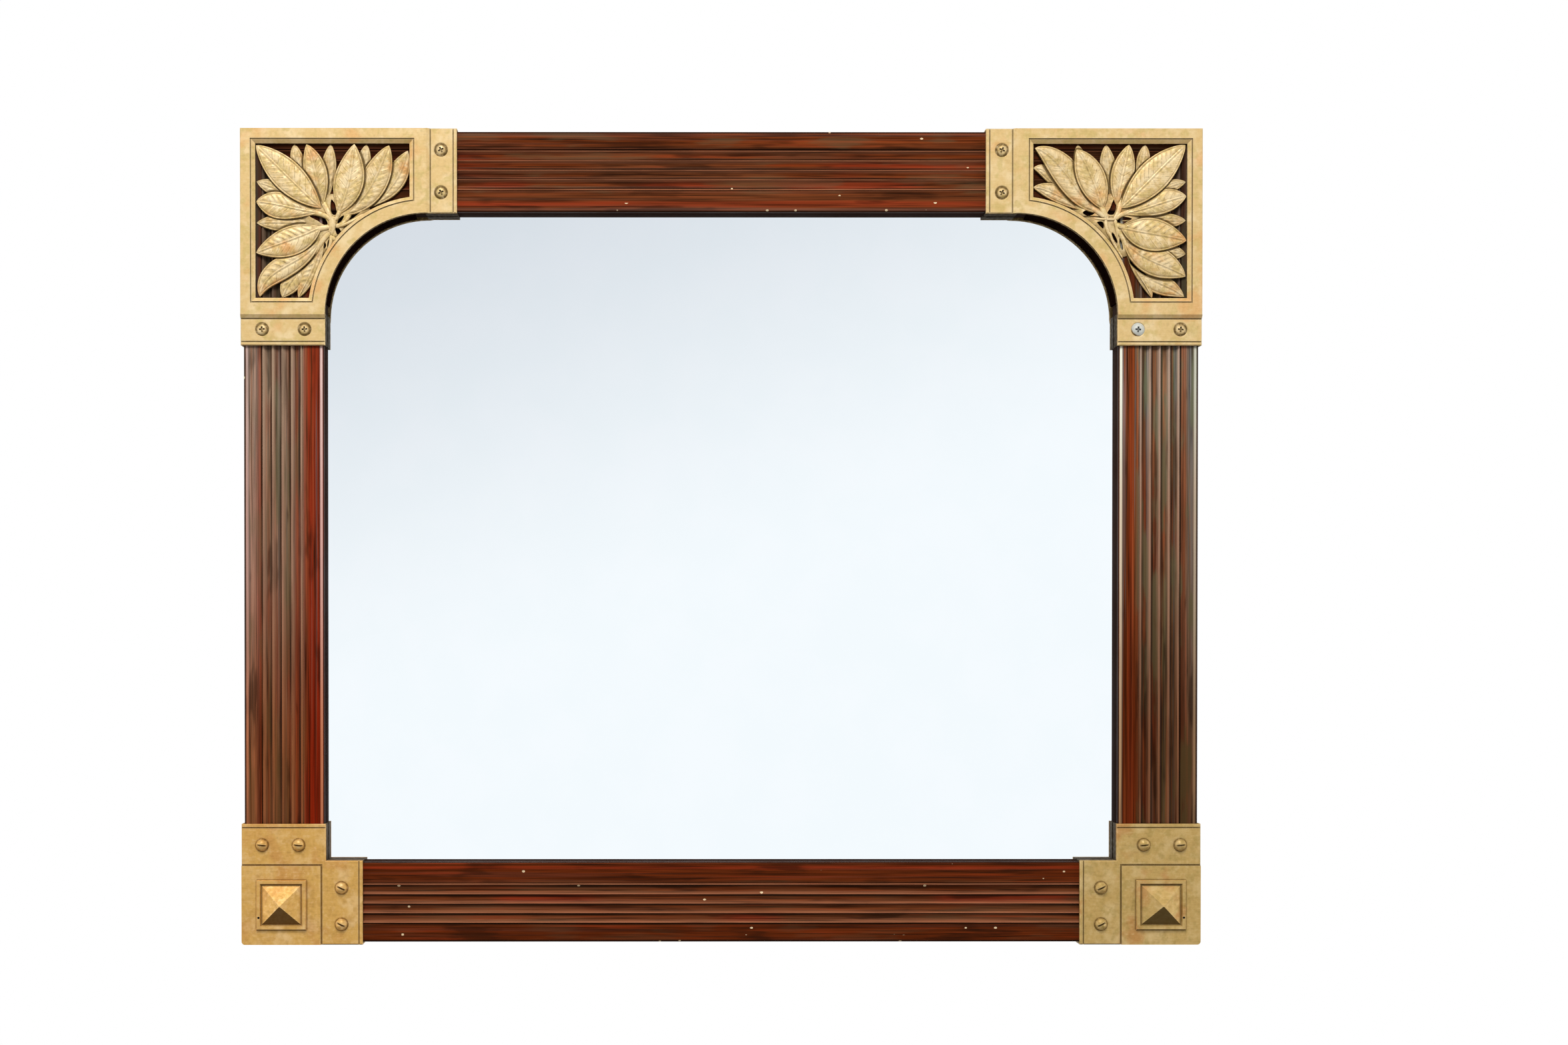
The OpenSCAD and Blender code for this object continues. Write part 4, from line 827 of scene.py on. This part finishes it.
RIGHT_KNOT = [
    [(73, 112), (64, 110), (60, 98), (56, 88), (55, 79), (58, 71), (66, 64), (74, 57), (86, 58), (98, 62), (110, 66),
     (114, 73), (103, 81.5), (91, 91), (82, 101)],
    [(77.4, 61.2), (79.3, 64.5), (81.2, 69.5), (83.7, 74), (81.5, 75.8), (77.8, 75), (75.9, 70), (75.9, 65)],
    [(62, 79.2), (66.5, 77.6), (71, 77.5), (75, 79.3), (75.3, 82.3), (72.5, 84.2), (69, 83.6), (65.5, 81.5)],
    [(105.5, 74), (102.5, 71.6), (98, 71.2), (94.2, 73), (97, 75.9), (101.5, 76.8)],
    [(92.8, 82.2), (88.5, 81.6), (86.8, 84), (87.2, 88), (90, 86)],
    [(79.6, 91.6), (78, 92.4), (75, 98), (74.8, 100.8), (76.3, 100), (79.3, 95.3)],
    [(72.8, 96), (71.6, 97.2), (69.9, 104), (70.3, 106.8), (72, 104.6), (73, 100)],
]


def along_curve(points, t):
    """Places and unit directions of a cubic curve at an array of shares of its way."""
    a, b, c, d = (np.array(p, float) for p in points)
    t = t[:, None]
    place = (1 - t) ** 3 * a + 3 * t * (1 - t) ** 2 * b + 3 * t * t * (1 - t) * c + t ** 3 * d
    way = (1 - t) ** 2 * (b - a) + 2 * t * (1 - t) * (c - b) + t * t * (d - c)
    return place, way / np.linalg.norm(way, axis=1)[:, None]


def half_width(leaf, t, side):
    """Half width of a leaf in millimetres, side being -1 or 1."""
    widest = np.where(side < 0, leaf[4], leaf[5])
    swell = np.maximum(np.sin(np.pi * t ** leaf[7]), 0) ** 0.72
    return np.maximum(0.35, widest * swell)


def outside_of(leaf, places):
    """How far places lie outside a leaf's outline in millimetres, negative inside."""
    t = np.linspace(0.02, 0.99, 48)
    middle, _ = along_curve(leaf[:4], t)
    wide = (half_width(leaf, t, -1) + half_width(leaf, t, 1)) / 2
    return (np.linalg.norm(places[:, None] - middle[None], axis=2) - wide).min(axis=1)


def bump(x, middle, width):
    return np.exp(-((x - middle) / width) ** 2)


# The back of the sprays and the outline of the webs, in millimetres above the wood
FOOT, WEB_OUTLINE = 0.1, 1.0


def lay_relief(mesh, grid, points, surface, tone):
    """Lays a grid along a curve as a raised form with upright sides and a flat back.

    surface gives, for arrays from edge to edge and from base to tip, the offset across the curve and the
    height, both in millimetres, and a dictionary of what else each point carries.
    """
    bm, layers = mesh
    made = bmesh.ops.create_grid(bm, x_segments=grid[0], y_segments=grid[1], size=1, calc_uvs=True)["verts"]
    at = np.array([v.co[:2] for v in made])
    s = np.sign(at[:, 0]) * (3 * at[:, 0] ** 2 - 2 * np.abs(at[:, 0]) ** 3)
    t = (1 - np.cos(np.pi * (at[:, 1] + 1) / 2)) / 2
    middle, way = along_curve(points, t)
    side = np.stack([-way[:, 1], way[:, 0]], 1)
    offset, height, carried = surface(s, t, middle, side)
    place = middle + side * offset[:, None]
    for i, v in enumerate(made):
        v.co = (*place[i], height[i])
        v[layers["tone"]] = tone
        for name, values in carried.items():
            v[layers[name]] = values[i]
    faces = {f for v in made for f in v.link_faces}
    rim = [e for e in {e for f in faces for e in f.edges} if e.is_boundary]
    below = bmesh.ops.extrude_edge_only(bm, edges=rim)["geom"]
    set_down(below, layers)
    bmesh.ops.holes_fill(bm, edges=[e for e in below if isinstance(e, bmesh.types.BMEdge)], sides=0)


def set_down(extruded, layers):
    """Puts the vertices of an extrusion at the foot of the spray and darkens them fully, as painted shade."""
    for v in extruded:
        if isinstance(v, bmesh.types.BMVert):
            v.co.z = FOOT
            v[layers["hollow"]] = 1.0


# Where a leaf's sunk line runs inside its edge, and the clearance under the leaf in front, in millimetres
SUNK_LINE, UNDERCUT = 1.6, 1.7


def leaf_surface(leaf, front, sizes, beat):
    """The shape of one leaf: raised border, sunk line inside it, midrib, side veins, and a groove where
    it passes under the leaves in front of it."""
    layer = leaf[6]
    crown, edge = sizes["top"] - layer * sizes["drop"], sizes["edge"] - layer * sizes["drop"]
    length_mm = np.linalg.norm(np.diff(along_curve(leaf[:4], np.linspace(0, 1, 30))[0], axis=0), axis=1).sum()

    def surface(s, t, middle, side):
        half = half_width(leaf, t, s)
        out = np.abs(s) * half
        inward = half - out
        fill = np.clip(half / 5.5, 0, 1)
        body = np.sin(np.pi / 2 * np.clip(inward / (0.62 * half + 0.01), 0, 1)) ** 0.8
        height = edge + (crown - edge) * body * fill - 0.7 * (2 * t - 1) ** 2
        border = sizes["rim"] * (bump(inward, 0.55, 0.5) - 1.2 * bump(inward, SUNK_LINE, 0.5))
        midrib = 0.22 * bump(out, 0, 0.42) - 0.34 * bump(out, 1.25, 0.75)
        phase = (t * length_mm - 0.8 * out - 0.02 * out ** 2) / beat
        veined = np.clip((inward - 1.4) / 2, 0, 1) * np.clip(out / 1.5, 0, 1) * np.clip(4 * (1 - t), 0, 1)
        height = height + (border + midrib) * fill - 0.8 * sizes["vein"] * np.cos(2 * np.pi * phase) * veined
        # Soil in the sunk line and beside the midrib is partly patina and partly painted shade; the back layers are
        # darkened as painted shade
        soil = np.maximum(0.62 * bump(inward, SUNK_LINE, 0.4), 0.4 * bump(out, 1.1, 0.4)) * fill
        soil = np.maximum(soil, 0.06 * layer)
        # A painted highlight over the crown of the leaf, fading towards its base
        crown_highlight = np.clip(inward / (0.8 * half + 0.01), 0, 1) * np.clip(4 * t, 0, 1)
        places = middle + side * (np.sign(s) * out)[:, None]
        for other in front:
            gap = outside_of(other, places)
            ceiling = sizes["edge"] - other[6] * sizes["drop"] - UNDERCUT + np.maximum(gap - 0.4, 0) * 1.3
            height = np.where(gap < 3, np.minimum(height, np.maximum(ceiling, 0.5)), height)
            # Darkened as painted shade where the leaf passes under the one in front
            soil = np.maximum(soil, 0.85 * bump(np.maximum(gap, 0.4), 0.4, 0.8))
        return np.sign(s) * out, height, {"hollow": np.clip(soil, 0, 1), "crown_highlight": crown_highlight, "beat": phase,
                                          "veined": veined}

    return surface


def stem_surface(stem, high, dip=0.0):
    """The shape of a stem: a rounded bar that changes from one thickness to the other, dips at its far end
    and is rounded off at both."""
    def surface(s, t, middle, side):
        end = np.clip((np.abs(2 * t - 1) - 0.8) / 0.2, 0, 0.96)
        half = (stem[4] + (stem[5] - stem[4]) * t) * np.sqrt(1 - end ** 2)
        height = high - 1.5 + 1.5 * np.sqrt(np.maximum(1 - s * s, 0)) - dip * (t ** 3 + 0.25 * (1 - t) ** 3)
        # Darkened as painted shade along the sides of the stem, with a painted highlight along its crest
        return s * half, height, {"hollow": 0.55 * bump(np.abs(s), 1, 0.2), "crown_highlight": 0.6 * (1 - np.abs(s))}

    return surface


def rounded_loop(points, steps=4):
    """A smooth closed line through a few points."""
    p = np.array(points, float)
    before, after, later = np.roll(p, 1, 0), np.roll(p, -1, 0), np.roll(p, -2, 0)
    line = [0.5 * (2 * p + (after - before) * t + (2 * before - 5 * p + 4 * after - later) * t * t
                   + (3 * p - before - 3 * after + later) * t ** 3) for t in np.arange(steps) / steps]
    return np.stack(line, 1).reshape(-1, 2)


def lay_web(mesh, knot, high):
    """Lays the web of a knot: its outline low, under the leaves, and the rims of its openings high."""
    bm, layers = mesh
    edges = []
    for i, points in enumerate(knot):
        loop = [bm.verts.new((*p, high if i else WEB_OUTLINE)) for p in rounded_loop(points)]
        for v in loop:
            # The low outline is darkened as painted shade under the leaves, the rims of the openings only a little
            v[layers["hollow"]], v[layers["tone"]] = 0.12 if i else 0.5, 0.5
        edges += [bm.edges.new(pair) for pair in zip(loop, loop[1:] + loop[:1])]
    filled = bmesh.ops.triangle_fill(bm, use_beauty=True, edges=edges)["geom"]
    faces = [f for f in filled if isinstance(f, bmesh.types.BMFace)]
    set_down(bmesh.ops.extrude_face_region(bm, geom=faces, use_keep_orig=True)["geom"], layers)


# The middle of the arch, right and down from the corner, the radius and half thickness of its low rib, and how
# far a cubic curve's handles reach along a quarter circle, as a share of its radius
ARCH_MIDDLE, RIB_RADIUS, RIB_HALF, QUARTER_REACH = 164.0, 103.2, 1.5, 0.5523


def arch_rib():
    """The low rib along the arch, as a stem on a quarter circle."""
    middle, handle = np.array([ARCH_MIDDLE, ARCH_MIDDLE]), RIB_RADIUS * QUARTER_REACH
    steps = ((RIB_RADIUS, 0), (RIB_RADIUS, handle), (handle, RIB_RADIUS), (0, RIB_RADIUS))
    return (*(tuple(middle - step) for step in steps), RIB_HALF, RIB_HALF)


# Columns and rows of the grid of a leaf, a stem and the rib, how far a stem dips at its far end, and the spacing
# of a leaf's side veins with how much it varies, in millimetres
LEAF_GRID, STEM_GRID, RIB_GRID = (36, 104), (12, 24), (8, 48)
STEM_DIP, VEIN_SPACING, VEIN_SPREAD = 2.8, 6.2, 0.9
SHARP_ANGLE = math.radians(55)


class MIRROR_OT_leaf_sprays(MirrorOperator):
    """Model the leaf sprays that fill the windows of the brackets"""
    bl_idname = "mirror.leaf_sprays"
    bl_label = "Leaf sprays"

    def execute(self, context):
        leaves = context.scene.mirror_leaves
        sizes = {name: getattr(leaves, name) / MM for name in MirrorLeaves.__annotations__}
        material = metal_material("leaf_gilt", context.scene.mirror_gilt, (0.75, 0.8, 0.8, 0.7, 0.35), 2.5, drawn=True)
        for name, drawn, stems, knot, sign in (("left_leaf_spray", LEFT_LEAVES, LEFT_STEMS, LEFT_KNOT, 1),
                                               ("right_leaf_spray", RIGHT_LEAVES, RIGHT_STEMS, RIGHT_KNOT, -1)):
            bm = bmesh.new()
            bm.loops.layers.uv.new("UVMap")
            layers = {n: bm.verts.layers.float.new(n) for n in DRAWN}
            self.model((bm, layers), sizes, drawn, stems, knot)
            for v in bm.verts:
                v.co = Vector((sign * (CORNER_X + v.co.x * MM), FACE_Y - v.co.z * MM, CORNER_Z - v.co.y * MM))
            bmesh.ops.recalc_face_normals(bm, faces=bm.faces)
            piece = meshed(context, name + "_cast", bm, material)
            piece.data.shade_smooth()
            piece.data.set_sharp_from_angle(angle=SHARP_ANGLE)
            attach(piece, "root")
            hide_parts(name)
        return {"FINISHED"}

    def model(self, mesh, sizes, drawn, stems, knot):
        """Lays the leaves, each of its own tone and vein spacing, then the stems, the web and the rib."""
        for i, leaf in enumerate(drawn):
            front = [other for other in drawn if other[6] < leaf[6]]
            surface = leaf_surface(leaf, front, sizes, VEIN_SPACING + VEIN_SPREAD * math.sin(5.0 * i))
            lay_relief(mesh, LEAF_GRID, leaf[:4], surface, (0.37 * i) % 1)
        for stem in stems:
            lay_relief(mesh, STEM_GRID, stem[:4], stem_surface(stem, sizes["stem"], STEM_DIP), 0.5)
        lay_web(mesh, knot, sizes["web"])
        rib = arch_rib()
        lay_relief(mesh, RIB_GRID, rib[:4], stem_surface(rib, sizes["rib"]), 0.5)


# The key light hangs up front and a little to the left, and the mirror and metals see only a share of it
KEY_AT, KEY_SIZE, KEY_MIRRORED = (-0.35, -2.1, 2.1), (1.4, 1.0), 0.45
STRIP_AT, STRIP_SIZE = (1.5, -0.55), (0.5, 1.8)
LENS, SENSOR = 50, 36
FLOOR_RADIUS, FLOOR_Y = 1.15, -0.1


class MIRROR_OT_studio(MirrorOperator):
    """Set up the pale floor, the soft studio light and the camera"""
    bl_idname = "mirror.studio"
    bl_label = "Studio"

    def execute(self, context):
        stage = context.scene.mirror_stage
        self.floor(context, stage)
        self.surroundings(context, stage)
        middle = Vector((0, 0, (CAD_BOX[0].z + CAD_BOX[1].z) / 2))
        above = Vector(KEY_AT)
        self.lamp(context, "key_light", KEY_MIRRORED * stage.key, KEY_SIZE, above, middle)
        scrim = self.lamp(context, "key_scrim", (1 - KEY_MIRRORED) * stage.key, KEY_SIZE, above, middle)
        scrim.visible_glossy = False
        for name, side in (("left_strip", -1), ("right_strip", 1)):
            at = Vector((side * STRIP_AT[0], STRIP_AT[1], middle.z))
            self.lamp(context, name, stage.side, STRIP_SIZE, at, middle)
        self.camera(context, stage)
        context.scene.view_settings.view_transform = "Standard"
        return {"FINISHED"}

    def floor(self, context, stage):
        bm = bmesh.new()
        bmesh.ops.create_circle(bm, cap_ends=True, segments=96, radius=FLOOR_RADIUS)
        bmesh.ops.translate(bm, vec=(0, FLOOR_Y, stage.floor_z), verts=bm.verts)
        made, shader, principled = new_material("floor_paint", Roughness=0.9, Specular_IOR_Level=0.1)
        tone = shader.noise(object_mm(shader), 0.004)
        shader.link(shader.mixed(shader.rises(tone, 0.3, 0.7), srgb(238, 238, 238), srgb(244, 244, 244)),
                    principled, "Base Color")
        meshed(context, "floor", bm, made)

    def surroundings(self, context, stage):
        """A white background for the camera, an even light for the object, and a pale sky with a slanted
        edge and a dark ground for what the mirror shows."""
        world = bpy.data.worlds.new("studio")
        context.scene.world = world
        world.use_nodes = True
        shader = Shader(world.node_tree)
        way = shader.parts(shader.add("TexCoord").outputs["Generated"])
        up = way["Z"]
        slant = shader.minus(up, shader.times(way["X"], 0.35))
        seen = shader.coated(
            srgb(246, 252, 255),
            (shader.rises(slant, 0.0, 0.28), srgb(212, 219, 226)),
            (shader.falls(up, -0.6, -0.25, 0.9), (0.02, 0.02, 0.02)),
            (shader.rises(up, 0.3, 0.6, 0.0, 0.6), (0.3, 0.3, 0.3)),
        )
        lit = shader.rises(up, -0.7, 0.5, 0.3 * stage.room, 1.4 * stage.room)
        rays = shader.add("LightPath").outputs
        mirrored = shader.highest(rays["Is Glossy Ray"], rays["Is Transmission Ray"])
        shown = shader.coated(shader.vector(lit, lit, lit), (mirrored, seen), (rays["Is Camera Ray"], (1.0, 1.0, 1.0)))
        shader.link(shown, world.node_tree.nodes["Background"], "Color")

    def lamp(self, context, name, watts, size, at, target):
        data = bpy.data.lights.new(name, "AREA")
        data.shape, data.energy = "RECTANGLE", watts
        data.size, data.size_y = size
        lamp = placed(context, name, data)
        lamp.location = at
        lamp.rotation_euler = (target - at).to_track_quat("-Z", "Y").to_euler()
        return lamp

    def camera(self, context, stage):
        data = bpy.data.cameras.new("camera")
        data.lens, data.sensor_width = LENS, SENSOR
        data.shift_x, data.shift_y = stage.shift_x, stage.shift_y
        camera = placed(context, "camera", data)
        camera.location = stage.camera_at
        camera.rotation_euler = (math.radians(90) + stage.pitch, 0, stage.yaw)
        context.scene.camera = camera


STEPS = (MIRROR_OT_fluted_frame, MIRROR_OT_silvered_plate, MIRROR_OT_pine_back, MIRROR_OT_gilt_brackets,
         MIRROR_OT_leaf_sprays, MIRROR_OT_brass_caps, MIRROR_OT_steel_fittings, MIRROR_OT_studio)
SETTINGS = {"mirror_wood": MirrorWood, "mirror_gilt": MirrorGilt, "mirror_brass": MirrorBrass,
            "mirror_old_brass": MirrorOldBrass, "mirror_leaves": MirrorLeaves, "mirror_stage": MirrorStage}


class MIRROR_PT_panel(bpy.types.Panel):
    """Lists the settings and the steps that dress the mirror"""
    bl_idname = "MIRROR_PT_panel"
    bl_label = "Overmantel Mirror"
    bl_space_type = "VIEW_3D"
    bl_region_type = "UI"
    bl_category = "Mirror"

    def draw(self, context):
        for name, group in SETTINGS.items():
            box = self.layout.box()
            box.label(text=name.replace("_", " ").title())
            for prop in group.__annotations__:
                box.prop(getattr(context.scene, name), prop)
        for step in STEPS:
            self.layout.operator(step.bl_idname)


CLASSES = (*SETTINGS.values(), *STEPS, MIRROR_PT_panel)


def register():
    for cls in CLASSES:
        bpy.utils.register_class(cls)
    for name, group in SETTINGS.items():
        setattr(bpy.types.Scene, name, PointerProperty(type=group))


def unregister():
    for name in SETTINGS:
        delattr(bpy.types.Scene, name)
    for cls in reversed(CLASSES):
        bpy.utils.unregister_class(cls)


def main():
    register()
    for step in STEPS:
        area, name = step.bl_idname.split(".")
        getattr(getattr(bpy.ops, area), name)()


if __name__ == "__main__":
    main()
